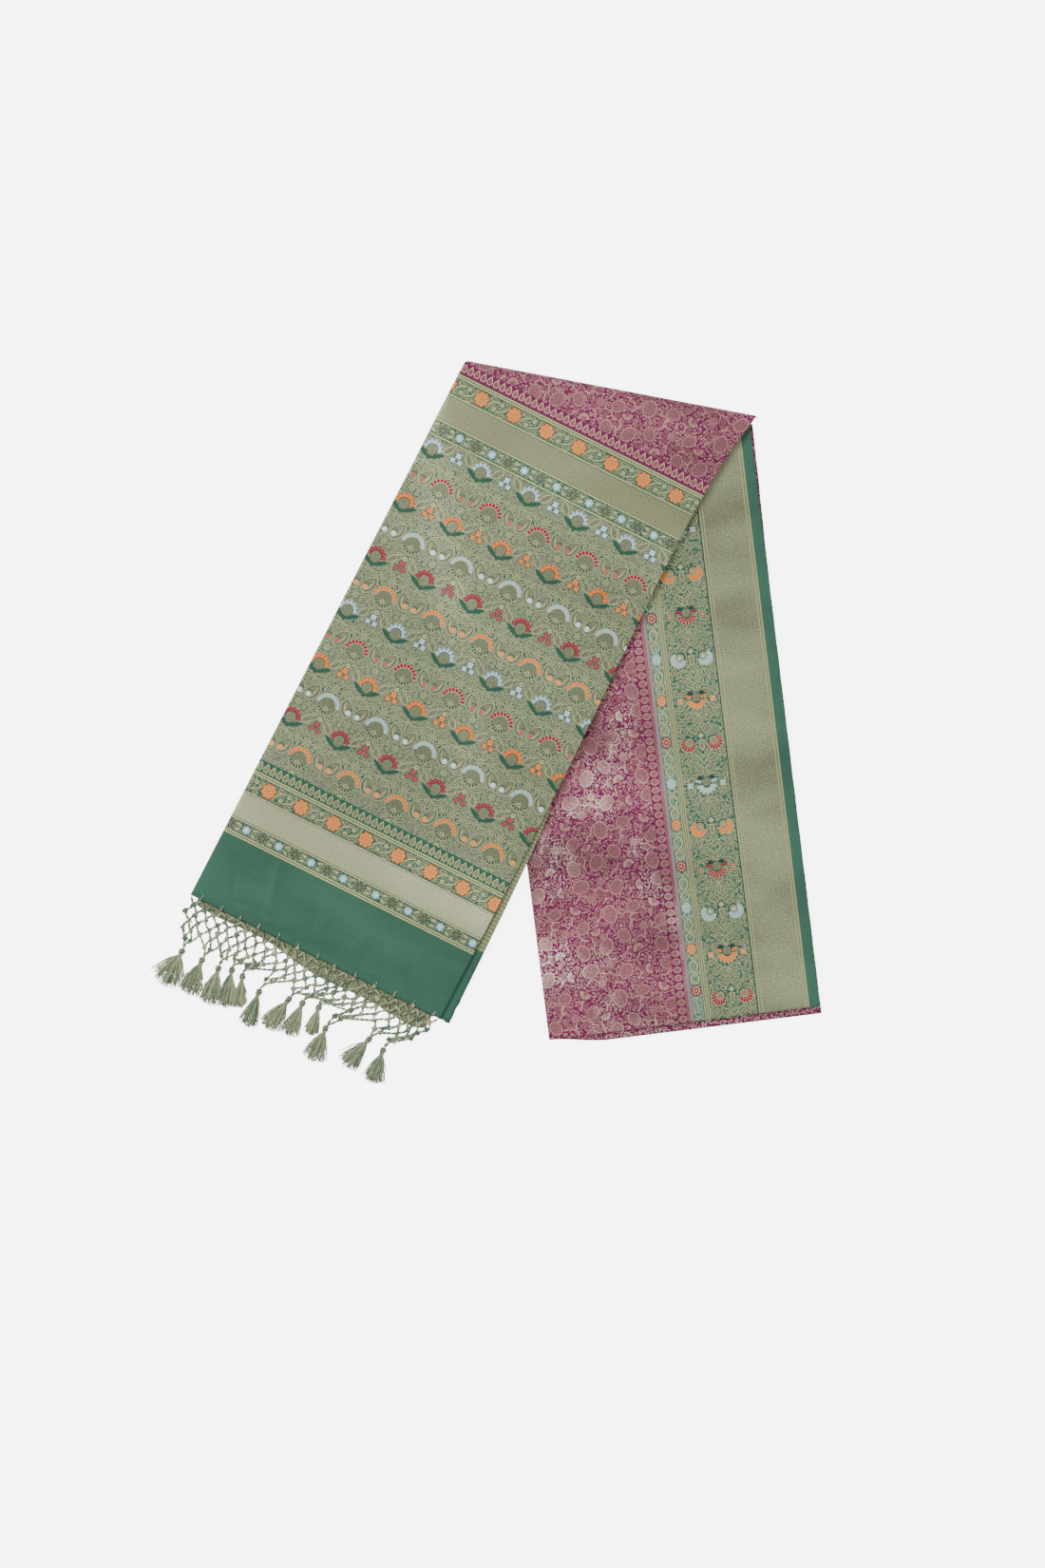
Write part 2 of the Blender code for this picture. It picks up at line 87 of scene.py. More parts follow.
# The light: one broad window-like panel to the upper left, a weaker one to the right, and a
# bright even room, so that shadows are short and soft and the gold thread glows in places.
ROOM_LIGHT = 0.66
LAMPS = (
    ("panel", (-1.5, 1.3, 2.4), 1.6, 94.0),
    ("fill", (1.8, -0.4, 2.2), 1.8, 22.0),
)
world = bpy.data.worlds.new("studio")
world.use_nodes = True
world.node_tree.nodes["Background"].inputs["Color"].default_value = (1.0, 1.0, 1.0, 1)
world.node_tree.nodes["Background"].inputs["Strength"].default_value = ROOM_LIGHT
bpy.context.scene.world = world
for name, place, wide, power in LAMPS:
    lamp = bpy.data.lights.new(name, "AREA")
    lamp.size = wide
    lamp.energy = power
    hung = bpy.data.objects.new(name, lamp)
    hung.location = place
    aim = Vector((*VIEW_CENTRE, 0)) - hung.location
    hung.rotation_euler = aim.to_track_quat("-Z", "Y").to_euler()
    bpy.context.collection.objects.link(hung)

# The yarns: dyed silk and flat metal thread. Every finish has threads that cross, with painted
# shade between them, a soft sheen and shade painted in broad lighter and darker bands, and a
# little bump, read from the flat cloth's own map in metres.
THREADS_A_METRE = 1150
RIBS_A_METRE = 480
DASHES_A_METRE = 500
FULL_TURN = 6.283
THREAD_SPECULAR = 0.2


class Wire:
    """A shader value that can be added to and multiplied like a number."""

    def __init__(self, finish, socket):
        self.finish = finish
        self.socket = socket

    def sum(self, kind, first, second):
        return self.finish.node("ShaderNodeMath", {"operation": kind}, {0: first, 1: second})

    def __add__(self, other):
        return self.sum("ADD", self, other)

    def __sub__(self, other):
        return self.sum("SUBTRACT", self, other)

    def __rsub__(self, other):
        return self.sum("SUBTRACT", other, self)

    def __mul__(self, other):
        return self.sum("MULTIPLY", self, other)

    __rmul__ = __mul__


class Finish:
    """One material, its shader, and the nodes that feed it."""

    def __init__(self, name, **constants):
        self.material = bpy.data.materials.new(name)
        self.material.use_nodes = True
        self.tree = self.material.node_tree
        self.shader = self.tree.nodes["Principled BSDF"]
        for socket, value in constants.items():
            self.shader.inputs[socket.replace("_", " ")].default_value = value

    def node(self, kind, settings, inputs, output=0):
        made = self.tree.nodes.new(kind)
        for setting, value in settings.items():
            setattr(made, setting, value)
        for socket, value in inputs.items():
            if isinstance(value, Wire):
                self.tree.links.new(value.socket, made.inputs[socket])
            else:
                made.inputs[socket].default_value = value
        return Wire(self, made.outputs[output])

    def sine(self, wire):
        return self.node("ShaderNodeMath", {"operation": "SINE"}, {0: wire})

    def feed(self, socket, wire):
        self.tree.links.new(wire.socket, self.shader.inputs[socket])

    def flat_cloth(self):
        """A spot's place on the flat cloth, in metres."""
        return self.node("ShaderNodeUVMap", {"uv_map": "cloth"}, {})

    def part_of(self, place, axis):
        return self.node("ShaderNodeSeparateXYZ", {}, {0: place}, axis)

    def relief(self, height, strength=0.25, depth=0.15 * MM):
        sizes = {"Height": height, "Strength": strength, "Distance": depth}
        self.feed("Normal", self.node("ShaderNodeBump", {}, sizes))

    def noise(self, at, scale, detail=2.0, output=0):
        sizes = {"Vector": at, "Scale": scale, "Detail": detail}
        return self.node("ShaderNodeTexNoise", {"noise_dimensions": "2D"}, sizes, output)

    def stretched(self, at, across, along):
        return self.node("ShaderNodeVectorMath", {"operation": "MULTIPLY"}, {0: at, 1: (across, along, 1)})

    def ramp(self, wire, low, high, least=0.0):
        """From least to one, as the value goes from low to high."""
        return self.node("ShaderNodeMapRange", {}, {0: wire, 1: low, 2: high, 3: least, 4: 1.0})

    def blend(self, share, first, second):
        """One colour or the other, each given as three numbers or as a wire."""
        pair = [tone if isinstance(tone, Wire) else (*tone, 1) for tone in (first, second)]
        return self.node("ShaderNodeMix", {"data_type": "RGBA"}, {0: share, 6: pair[0], 7: pair[1]}, 2)

    def painted_shine_patches(self, cloth, tone, shine):
        """The colour, or its shine colour painted in as a highlight in patches, most of them by the open end.
        """
        patch = self.noise(self.stretched(cloth, 13, 11), 1.0, 3.0) - self.part_of(cloth, "Y") * 0.3
        return self.blend(self.ramp(patch, 0.47, 0.63), tone, shine)

    def painted_sheen_bands(self, cloth, tone, glow):
        """The colour with painted sheen and shade: lighter and darker in broad soft bands across the cloth.
        """
        patch = self.noise(self.stretched(cloth, 5.5, 14), 1.0, 3.0)
        lit = self.node("ShaderNodeMapRange", {}, {0: patch, 1: 0.3, 2: 0.7, 3: 1 - glow, 4: 1 + glow})
        return self.node("ShaderNodeVectorMath", {"operation": "SCALE"}, {0: tone, 3: lit})


def yarn(name, colour, between, metal=0.0, rough=0.5, rib=0.0, glow=0.1, mottle=0.0, dash=None, crumple=0,
         shine=None):
    """Threads of one colour, with what shows between them: partly the ground and partly painted shade.
    Rib is how far rows of thread stand out, glow how far broad bands of painted sheen and shade
    lighten and darken it, mottle how much the ground shows in specks, dash the way that slanting
    stitches of it follow each other, crumple how far it is wrinkled, and shine the colour of its
    painted highlight patches, where it would catch the light."""
    finish = Finish(name, Metallic=metal, Specular_IOR_Level=THREAD_SPECULAR)
    cloth = finish.flat_cloth()
    across = finish.part_of(cloth, "X")
    along = finish.part_of(cloth, "Y")
    wander = finish.noise(cloth, 260.0)
    pick = finish.sine(across * (THREADS_A_METRE * FULL_TURN) + wander * 3.0)
    end = finish.sine(along * (THREADS_A_METRE * FULL_TURN) + wander * 3.0)
    crossed = pick * end * 0.5 + 0.5
    ribs = finish.sine(along * (RIBS_A_METRE * FULL_TURN) + wander * 2.5) * 0.5 + 0.5
    fleck = finish.noise(finish.stretched(cloth, 420, 800), 1.0, 1.0)
    thread = crossed * 0.35 + fleck * 0.65
    thread = thread * (1 - rib) + ribs * rib
    if dash:
        slant = across + along * 0.35 if dash == "across" else along + across * 0.35
        thread = thread * 0.3 + finish.sine(slant * (DASHES_A_METRE * FULL_TURN)) * 0.3 + 0.28
    if mottle:
        speck = finish.noise(cloth, 1500.0, 1.0) * 0.6 + finish.noise(cloth, 700.0, 1.0) * 0.4
        thread = thread - mottle * (1 - finish.ramp(speck, 0.36, 0.6))
    # Painted highlight: patches in the shine colour where the thread would catch the light.
    if shine:
        colour = finish.painted_shine_patches(cloth, colour, shine)
    # Between the threads, the darker colour: partly the ground and partly painted shade.
    tone = finish.blend(finish.ramp(thread, 0.2, 0.62), between, colour)
    # Painted sheen and shade: the colour lighter and darker in broad bands.
    finish.feed("Base Color", finish.painted_sheen_bands(cloth, tone, glow))
    finish.feed("Roughness", rough + 0.1 - thread * 0.2)
    finish.relief(thread + finish.noise(cloth, 70.0, 3.0) * crumple if crumple else thread)
    return finish.material


def foliage(name, gold, pale, ground, cell, line, pale_line=0.12, glow=0.1, shine=None):
    """Brocade packed with small leaves: dull metal thread, a pale edge to each leaf, and the dark
    ground between. Cell is how many leaves there are in a metre."""
    finish = Finish(name, Metallic=0.3, Specular_IOR_Level=THREAD_SPECULAR)
    cloth = finish.flat_cloth()
    bend = finish.noise(cloth, cell * 0.7, 2.0, 1)
    pushed = finish.node("ShaderNodeVectorMath", {"operation": "MULTIPLY_ADD"},
                         {0: bend, 1: (2.4 / cell, 2.4 / cell, 0), 2: cloth})
    edges = {"voronoi_dimensions": "2D", "feature": "DISTANCE_TO_EDGE"}
    leaves = finish.node("ShaderNodeTexVoronoi", edges, {"Vector": pushed, "Scale": cell})
    vein = finish.node("ShaderNodeTexVoronoi", edges, {"Vector": pushed, "Scale": cell * 2.2})
    fleck = finish.noise(cloth, 620.0)
    edge = leaves + (fleck - 0.5) * 0.08 + (finish.noise(cloth, cell * 1.6, 1.0) - 0.5) * 0.26
    inside = finish.ramp(edge, line, line + 0.03)
    middle = finish.ramp(edge, line + pale_line, line + pale_line + 0.04)
    veined = finish.ramp(vein + (fleck - 0.5) * 0.1, 0.05, 0.12, 0.35)
    shaded = finish.ramp(fleck, 0.34, 0.56, 0.5)
    # Painted highlight: patches of the shine colour where the gold would catch the light.
    if shine:
        gold = finish.painted_shine_patches(cloth, gold, shine)
        pale = finish.painted_shine_patches(cloth, pale, shine)
    dull = finish.blend(shaded * veined, ground, gold)
    leafy = finish.blend(middle, pale, dull)
    # Painted sheen and shade: the leaves lighter and darker in broad bands.
    finish.feed("Base Color", finish.painted_sheen_bands(cloth, finish.blend(inside, ground, leafy), glow))
    finish.feed("Roughness", 0.62 - inside * 0.2)
    finish.relief(inside + fleck * 0.5)
    return finish.material


# Each yarn's colour and what shows between its threads, partly painted shade. For foliage: its gold,
# the pale edge of its leaves, the ground, the leaves in a metre, how wide the ground and the pale edge
# are, and for some the strength of the painted sheen bands and the colour of the painted highlight.
YARNS = {
    "foliage": foliage("packed gold leaves", (0.204, 0.215, 0.134), (0.352, 0.360, 0.212),
                       (0.022, 0.072, 0.045), 270.0, 0.055, 0.12),
    "open foliage": foliage("gold leaves on green", (0.272, 0.280, 0.156), (0.378, 0.380, 0.205),
                            (0.026, 0.100, 0.066), 215.0, 0.12, 0.07),
    "teal foliage": foliage("gold leaves on teal", (0.370, 0.400, 0.220), (0.540, 0.560, 0.320),
                            (0.045, 0.140, 0.110), 260.0, 0.15, 0.07),
    # Painted highlight patches and painted sheen bands on the gold leaves of the magenta silk.
    "rose foliage": foliage("gold leaves on magenta", (0.300, 0.155, 0.142), (0.520, 0.330, 0.272),
                            (0.146, 0.009, 0.062), 265.0, 0.20, 0.10, 0.3, (0.68, 0.52, 0.43)),
    "body gold": yarn("plain gold weave", (0.350, 0.362, 0.200), (0.110, 0.130, 0.085),
                      metal=0.35, rough=0.4, rib=0.3, glow=0.3, mottle=0.26),
    "plain green": yarn("plain green silk", (0.036, 0.112, 0.074), (0.026, 0.090, 0.056),
                        glow=0.18, crumple=14),
    "field": yarn("dark green ground", (0.024, 0.092, 0.058), (0.018, 0.076, 0.046)),
    "gold": yarn("dull gold thread", (0.282, 0.290, 0.156), (0.105, 0.120, 0.070),
                 metal=0.3, rough=0.42, glow=0.12, mottle=0.34),
    "dashes": yarn("slanting gold stitches", (0.760, 0.750, 0.320), (0.085, 0.120, 0.070),
                   metal=0.2, dash="across"),
    "upright dashes": yarn("slanting gold stitches up the cloth", (0.520, 0.520, 0.250),
                           (0.190, 0.205, 0.110), metal=0.2, dash="up"),
    "bright": yarn("pale gold thread", (0.560, 0.560, 0.280), (0.280, 0.303, 0.150),
                   metal=0.25, rough=0.38),
    "rib gold": yarn("ribbed gold thread", (0.330, 0.340, 0.175), (0.130, 0.148, 0.090),
                     metal=0.35, rough=0.4, rib=0.34, glow=0.14, mottle=0.2),
    # A lighter copy of the ribbed gold: a painted highlight for the lower band, where the light catches it.
    "lit gold": yarn("ribbed gold thread painted lighter where lit", (0.560, 0.570, 0.350), (0.230, 0.250, 0.150),
                     metal=0.3, rough=0.38, rib=0.34, glow=0.16, mottle=0.15),
    "shade": yarn("gold sunk in green", (0.075, 0.105, 0.060), (0.040, 0.076, 0.042), rough=0.55),
    "teal": yarn("teal ground of the border", (0.045, 0.140, 0.110), (0.034, 0.112, 0.086)),
    "leaf": yarn("deep green thread", (0.020, 0.078, 0.048), (0.016, 0.064, 0.038), rough=0.55),
    "stripe": yarn("blackish green thread", (0.013, 0.044, 0.036), (0.011, 0.034, 0.028), rough=0.55),
    "orange": yarn("orange silk", (0.760, 0.165, 0.012), (0.560, 0.117, 0.012)),
    "pale orange": yarn("pale orange silk", (0.860, 0.330, 0.080), (0.566, 0.210, 0.064)),
    "red": yarn("red silk", (0.301, 0.008, 0.030), (0.202, 0.012, 0.026)),
    "pale red": yarn("pale red silk", (0.449, 0.136, 0.105), (0.240, 0.064, 0.059)),
    "silver": yarn("silver thread", (0.381, 0.560, 0.620), (0.201, 0.294, 0.323), metal=0.2, rough=0.42),
    "pale silver": yarn("white silver thread", (0.720, 0.860, 0.850), (0.307, 0.456, 0.453),
                        metal=0.2, rough=0.4),
    "magenta": yarn("magenta silk", (0.146, 0.009, 0.062), (0.105, 0.008, 0.043), rough=0.45),
    # Gold thread on magenta, with painted highlight patches in the shine colours.
    "rose gold": yarn("gold thread on magenta", (0.325, 0.162, 0.152), (0.185, 0.050, 0.080),
                      metal=0.25, rough=0.4, glow=0.3, mottle=0.3, shine=(0.78, 0.58, 0.48)),
    "rose line": yarn("flat gold thread on magenta", (0.530, 0.300, 0.245), (0.240, 0.080, 0.100),
                      metal=0.25, rough=0.4, glow=0.3, shine=(0.95, 0.78, 0.66)),
    "rose bright": yarn("pale gold thread on magenta", (0.800, 0.520, 0.400), (0.445, 0.183, 0.190),
                        metal=0.25, rough=0.38),
    "lilac": yarn("greyish lilac warp", (0.310, 0.226, 0.239), (0.183, 0.148, 0.155),
                  metal=0.2, rough=0.45),
    "back": yarn("reverse of the brocade", (0.110, 0.130, 0.075), (0.040, 0.085, 0.055), rough=0.6),
    "magenta back": yarn("reverse of the magenta silk", (0.180, 0.050, 0.075), (0.104, 0.010, 0.040),
                         rough=0.6),
}
ACCENTS = {"silver": "pale silver", "red": "pale red", "orange": "pale orange"}

# The motifs: flowers and leaves of the usual kind, drawn flat in millimetres as complex numbers,
# up the cloth, and woven one over the other.


def arc(radius, first, last, steps):
    """Points along an arc, by degrees anticlockwise from the right."""
    turns = [math.radians(first + (last - first) * step / steps) for step in range(steps + 1)]
    return [cmath.rect(radius, turn) for turn in turns]


def disc(radius, sides=7, at=0):
    return [at + spot for spot in arc(radius, 0, 360, sides)[:-1]]


def squashed(outline, wide, tall, at=0):
    return [at + complex(spot.real * wide, spot.imag * tall) for spot in outline]


def scallops(petals, radius, notch, each=4):
    """The edge of a round flower, whose notches between petals are that deep."""
    spots = []
    for count in range(petals * each):
        dip = (1 - abs(math.sin(math.pi * count / each))) ** 1.4
        spots.append(cmath.rect(radius - notch * dip, 2 * math.pi * count / (petals * each)))
    return spots


def leaf(length, width, bend=0.0, teeth=0):
    """A leaf that grows to the right from its stalk and bends to the left."""
    steps = 2 * teeth if teeth else 4
    upper = []
    lower = []
    for count in range(1, steps):
        share = count / steps
        spine = length * share * cmath.rect(1, math.radians(bend) * share / 2)
        aside = 1j * cmath.rect(1, math.radians(bend) * share)
        half = width / 2 * math.sin(math.pi * share ** 0.8)
        if teeth and count % 2:
            half *= 0.62
        upper.append(spine + aside * half)
        lower.append(spine - aside * half)
    return [0] + lower + [length * cmath.rect(1, math.radians(bend) / 2)] + upper[::-1]


def smooth_route(route, steps):
    """More points along a smooth curve through those given."""
    ends = [2 * route[0] - route[1], *route, 2 * route[-1] - route[-2]]
    spots = []
    for a, b, c, d in zip(ends, ends[1:], ends[2:], ends[3:]):
        for step in range(steps):
            t = step / steps
            spots.append(0.5 * (2 * b + (c - a) * t + (2 * a - 5 * b + 4 * c - d) * t * t
                                + (3 * b - a - 3 * c + d) * t ** 3))
    return spots + [route[-1]]


def stem(route, width, tip, steps):
    """A stalk along a smooth route, thinner at its end."""
    spots = smooth_route(route, steps)
    left = []
    right = []
    for count, spot in enumerate(spots):
        ahead = spots[min(count + 1, len(spots) - 1)] - spots[max(count - 1, 0)]
        half = width / 2 * (1 - (1 - tip) * count / (len(spots) - 1))
        aside = 1j * ahead / abs(ahead) * half
        left.append(spot + aside)
        right.append(spot - aside)
    return right + left[::-1]


def moved(shapes, at=0, turn=0.0, size=1.0):
    way = cmath.rect(size, math.radians(turn))
    return [(name, [at + spot * way for spot in outline]) for name, outline in shapes]


def mirrored(shapes):
    return [(name, [-complex(spot).conjugate() for spot in outline][::-1]) for name, outline in shapes]


def both_sides(shapes):
    return shapes + mirrored(shapes)


def petal(way, *lower):
    """A petal that points that way, from its lower edge. Spots on its middle line aren't doubled."""
    upper = [spot.conjugate() for spot in reversed(lower) if spot.imag]
    return [way * spot for spot in (*lower, *upper)]


def blossom(petals, radius, rim="bright", fill="gold", ground="field"):
    """A round flower: a bright scalloped rim, a duller inside, and a heart in a dark ring."""
    notch = radius * 0.3
    shapes = [(ground, disc(radius + 0.5, 9)), (rim, scallops(petals, radius, notch, 3 if radius > 4 else 2))]
    if radius > 3.2:
        shapes.append((fill, scallops(petals, radius * 0.86, notch * 0.95, 3)))
        shapes.append((rim, disc(radius * 0.44, 7)))
    shapes.append((ground, disc(radius * 0.3, 6)))
    if radius > 4:
        shapes.append((rim, disc(radius * 0.15, 4)))
    return shapes


def midrib(length, bend, *shares):
    return [length * share * cmath.rect(1, math.radians(bend) * share / 2) for share in shares]


def leaves(*rows):
    """Leaves with a bright edge, a duller inside and a dark midrib: the length, width, bend and
    teeth of each, its stalk's place and its turn."""
    shapes = []
    for length, width, bend, teeth, at, turn in rows:
        shift = 0.5 * cmath.rect(1, math.radians(bend) / 2)
        inner = [spot + shift for spot in leaf(length * 0.9, width * 0.76, bend, teeth)]
        one = [("field", leaf(length + 0.3, width + 0.8, bend)), ("bright", leaf(length, width, bend, teeth))]
        one += [("gold", inner), ("field", stem(midrib(length, bend, 0.15, 0.55, 0.9), 0.55, 0.4, 1))]
        shapes += moved(one, at, turn)
    return shapes


def vine(route, ground="field", width=1.0, tip=0.5, steps=2):
    """A bright stalk with a dark line of ground along its inner side."""
    return [(ground, stem(route, width + 1.5, tip, steps)), ("bright", stem(route, width, tip, steps))]


def crown(colour):
    """Pointed petals round a dotted dome, which sits on a pair of dark leaves."""
    shapes = [("field", arc(9.8, -4, 184, 12))]
    for count in range(7):
        way = cmath.rect(1, math.radians(90 + (count - 3) * 27))
        shapes.append((colour, petal(way, 5.0 - 1.3j, 8.0 - 2.1j, 10.4 - 1.2j, 12.0)))
        shapes.append((ACCENTS[colour], petal(way, 7.4 - 0.7j, 10.0)))
    shapes.append(("stripe", arc(6.4, -34, 214, 12) + [-7.0j]))
    shapes.append(("gold", arc(5.7, -38, 218, 12) + [-6.6j]))
    for spot in (0, 2.3, -2.3, 1.15 + 2.1j, -1.15 + 2.1j, 1.15 - 2.1j, -1.15 - 2.1j, -4.2j, 4.0j):
        shapes.append(("stripe", disc(0.5, 4, spot)))
    wing = [-0.5 - 7.2j, 2.4 - 6.6j, 4.8 - 4.4j, 8.0 - 2.2j, 11.6 - 1.0j, 15.2 - 0.6j, 13.8 - 3.8j,
            12.2 - 4.2j, 11.2 - 6.6j, 9.2 - 6.4j, 8.0 - 8.6j, 6.2 - 8.0j, 4.6 - 10.0j, 2.8 - 9.2j,
            1.2 - 11.4j, -0.7 - 11.0j]
    return shapes + both_sides([("leaf", wing)])


def fan(colour):
    """A crescent of petal tips over a rayed disc, with a dark striped cup below."""
    hub = -3.6j
    shapes = [("field", disc(9.4, 14, -1.0j)), ("gold", arc(8.6, -20, 200, 12) + [-6.0j])]
    for count in range(13):
        way = cmath.rect(1, math.radians(-3 + 15.5 * count))
        far = way * 8.0
        aside = 1j * (far - hub) / abs(far - hub)
        near = hub + (far - hub) * 0.3
        spoke = [near - aside * 0.12, far - aside * 0.36, far + aside * 0.36, near + aside * 0.12]
        shapes.append(("shade", spoke))
    shapes.append(("bright", arc(13.4, 2, 178, 12) + arc(9.0, 176, 4, 9)))
    for count in range(9):
        first = 5 + 18.9 * count
        outer = arc(12.9, first + 1.4, first + 17.5, 2)
        outer[1] *= 1.035
        shapes.append((colour, outer + arc(9.4, first + 17.2, first + 1.7, 1)))
    shapes.append(("gold", arc(11.0, -160, -20, 8) + [hub]))
    for count in range(6):
        way = cmath.rect(1, math.radians(-147 + 22.8 * count))
        shapes.append(("bright", petal(way, 4.6 - 0.5j, 10.0 - 1.5j, 11.0)))
        shapes.append(("stripe", petal(way, 4.8 - 0.3j, 9.4 - 1.1j, 10.4)))
    shapes += [("bright", disc(2.3, 8, hub)), ("gold", disc(1.6, 7, hub))]
    return shapes


def floret(radius, tint, edge, ground):
    """A little tufted flower of four round petals."""
    shapes = [(ground, disc(radius + 0.6, 8))]
    for count in range(4):
        way = cmath.rect(1, math.radians(45 + 90.0 * count))
        shapes.append((edge, disc(radius * 0.55, 6, way * radius * 0.52)))
        shapes.append((tint, disc(radius * 0.36, 5, way * radius * 0.54)))
    return shapes


def paisley_bud(colour):
    """A bud in a bright-edged pod with a row of dots down its outer side."""
    pod = [-8 + 13.5j, -9.8 + 6.5j, -9.0 + 0.2j, -5.4 - 5j, 0 - 7.2j, 4.2 - 5.2j, 5.5 + 0j, 4.6 + 5.5j,
           1.2 + 9.6j, -3 + 12.2j]
    outline = smooth_route(pod + pod[:1], 2)[:-1]
    heart = -1.6 + 2.6j
    shapes = []
    for name, size in (("field", 1.07), ("bright", 1), ("gold", 0.92), ("field", 0.8), ("gold", 0.75)):
        shapes.append((name, outline if size == 1 else [heart + (spot - heart) * size for spot in outline]))
    gleam = [-6.4 + 9.6j, -5.6 + 4j, -3.4 - 1.6j, 0.4 - 3.9j, 1.0 - 3.2j, -2.6 - 0.6j, -4.6 + 4.4j]
    shapes.append(("bright", smooth_route(gleam, 1)))
    for count in range(7):
        share = count / 6
        shapes.append(("stripe", disc(0.5, 4, complex(-7.4 + 5.6 * share ** 2, 7.5 - 11.5 * share))))
    beads = (("field", 0.4, 3.8, 9, 1, 1), ("bright", -0.6, 3.3, 9, 0.98, 1.1),
             (colour, -0.7, 3.0, 9, 0.94, 1.06), (ACCENTS[colour], -0.8, 2.6, 8, 1, 1))
    for name, low, radius, sides, wide, tall in beads:
        shapes.append((name, squashed(disc(radius, sides), wide, tall, complex(0.9, low))))
    for way in (-1.8, 0, 1.8):
        tuft = [complex(0.9 + way - 0.6, 2.0), complex(0.9 + way + 0.6, 2.0), complex(0.9 + way * 1.3, 5.4)]
        shapes.append(("leaf", tuft))
    return shapes


def crown_group(colour):
    """All that belongs to one crown flower: its leaves, and the florets at its right."""
    one_side = vine([13.6 - 3.2j, 17 - 7.4j, 21.5 - 9.4j, 25.4 - 7.8j, 28.6 - 11.5j])
    one_side += leaves((17, 8.6, 16, 0, 12.0 + 0.5j, 44), (14.5, 6.4, 26, 4, 1.4 - 12.4j, -10),
                       (11, 5.6, -26, 3, 1.4 - 13.6j, -62), (8.5, 5.0, 30, 3, 16.0 - 9.6j, -52))
    one_side += moved(blossom(5, 3.4), 7.6 + 15.0j, 20)
    one_side += vine([5.2 + 18.6j, 10 + 19.6j, 12.6 + 23.6j], width=0.9)
    shapes = both_sides(one_side) + leaves((9, 6, 0, 0, -14.0j, -90))
    shapes += moved(blossom(6, 4.6), 18.8j) + crown(colour)
    for at, radius, turn in ((28.7 + 5.2j, 3.6, 0), (24.7 - 0.9j, 3.0, 10), (32.7 - 0.9j, 3.0, -10)):
        shapes += moved(floret(radius, ACCENTS[colour], colour, "leaf"), at, turn)
    return shapes


def fan_group(colour):
    """All that belongs to one fan flower: its buds, the sprays above it and the rosettes."""
    one_side = []
    for far, rise in ((27.8, 18.5), (27.2, 22.5), (24.5, 26.5), (19.5, 28.5)):
        bend = complex(8.6 + (far - 8.6) * 0.4, 14.6 + (rise - 13) * 0.3)
        one_side += vine([8.6 + 12.6j, bend, complex(far, rise)], width=1.3)
    one_side += moved(blossom(7, 5.2), 11.2 + 21.2j, 12) + moved(paisley_bud(colour), 22.6 + 3.4j)
    one_side += leaves((12, 6.0, 30, 3, 5.0 - 12.5j, 8), (10, 5.4, -20, 0, 3.4 - 14.0j, -44))
    one_side += vine([10.6 - 5.4j, 14.4 - 8.4j, 15.6 - 13.4j], width=0.9)
    shapes = both_sides(one_side) + moved(blossom(8, 6.0), 19.4j, 22.5)
    return shapes + moved(blossom(5, 3.2), -16.6j, 18) + fan(colour)


# The pallu leg: the sari's decorated end, one stretch of brocade lying on top. It is woven in
# one piece, with its bands across, rolled over the folded layers at its sides and at its hem,
# and turned under along the slanting fold at the top.
CLOTH_THICK = 0.5 * MM
LINING_DEPTH = 0.95 * MM
LEG_HEIGHT = 7.3 * MM
CLEAR = 0.3 * MM
EDGE_ROLL = 1.5 * MM
CREASE_CALM = 12 * MM
FOLD_LEFT = Vector((-0.0259, 0.3786))
FOLD_LENGTH = 0.3141
FOLD_ANGLE = math.radians(-10.75)
FOLD_AXIS_HEIGHT = LEG_HEIGHT + 0.15 * MM
FOLD_WRAP = math.radians(122)
PALLU_LEFT_EDGE = 0.6313
PALLU_LEFT_ANGLE = math.radians(-117.28)
HEM_LENGTH = 0.2965
HEM_ANGLE = math.radians(-26.5)
PALLU_WAIST = 10.4 * MM
CARRY = 16.0 * MM
RAMP = 56.0 * MM
BODY_LEFT_EDGE = 0.7215
BODY_LEFT_ANGLE = math.radians(-82.64)
BODY_END = 0.2906
BODY_END_ANGLE = math.radians(7.1)


def polar(length, angle):
    return Vector((math.cos(angle), math.sin(angle))) * length


def ease(share):
    held = min(max(share, 0.0), 1.0)
    return held * held * (3 - 2 * held)


FOLD_RIGHT = FOLD_LEFT + polar(FOLD_LENGTH, FOLD_ANGLE)
FOLD_OUTWARD = polar(1, FOLD_ANGLE + math.pi / 2)
HEM_LEFT = FOLD_LEFT + polar(PALLU_LEFT_EDGE, PALLU_LEFT_ANGLE)
HEM_WAY = polar(1, HEM_ANGLE)
PALLU_WAY = -polar(1, PALLU_LEFT_ANGLE)
BODY_LEFT = FOLD_LEFT + polar(BODY_LEFT_EDGE, BODY_LEFT_ANGLE)
BODY_END_WAY = polar(1, BODY_END_ANGLE)
BODY_WAY = -polar(1, BODY_LEFT_ANGLE)


def skewed(place, corner, across_way, along_way):
    """How far a place lies across and along a leg, from its lower left corner."""
    away = place - corner
    area = across_way.x * along_way.y - across_way.y * along_way.x
    across = (away.x * along_way.y - away.y * along_way.x) / area
    along = (across_way.x * away.y - across_way.y * away.x) / area
    return across, along


FOLD_RIGHT_ACROSS, FOLD_RIGHT_ALONG = skewed(FOLD_RIGHT, HEM_LEFT, HEM_WAY, PALLU_WAY)
FOLD_SLOPE = (FOLD_RIGHT_ALONG - PALLU_LEFT_EDGE) / FOLD_RIGHT_ACROSS
FOLD_STRETCH = math.hypot(1, FOLD_SLOPE)


def carried(place):
    """How high the body leg underneath carries this leg."""
    away = place - BODY_LEFT
    left_of_body = away.y * BODY_WAY.x - away.x * BODY_WAY.y
    return (LEG_HEIGHT + CLEAR) * ease(1 - (left_of_body - CARRY) / RAMP)


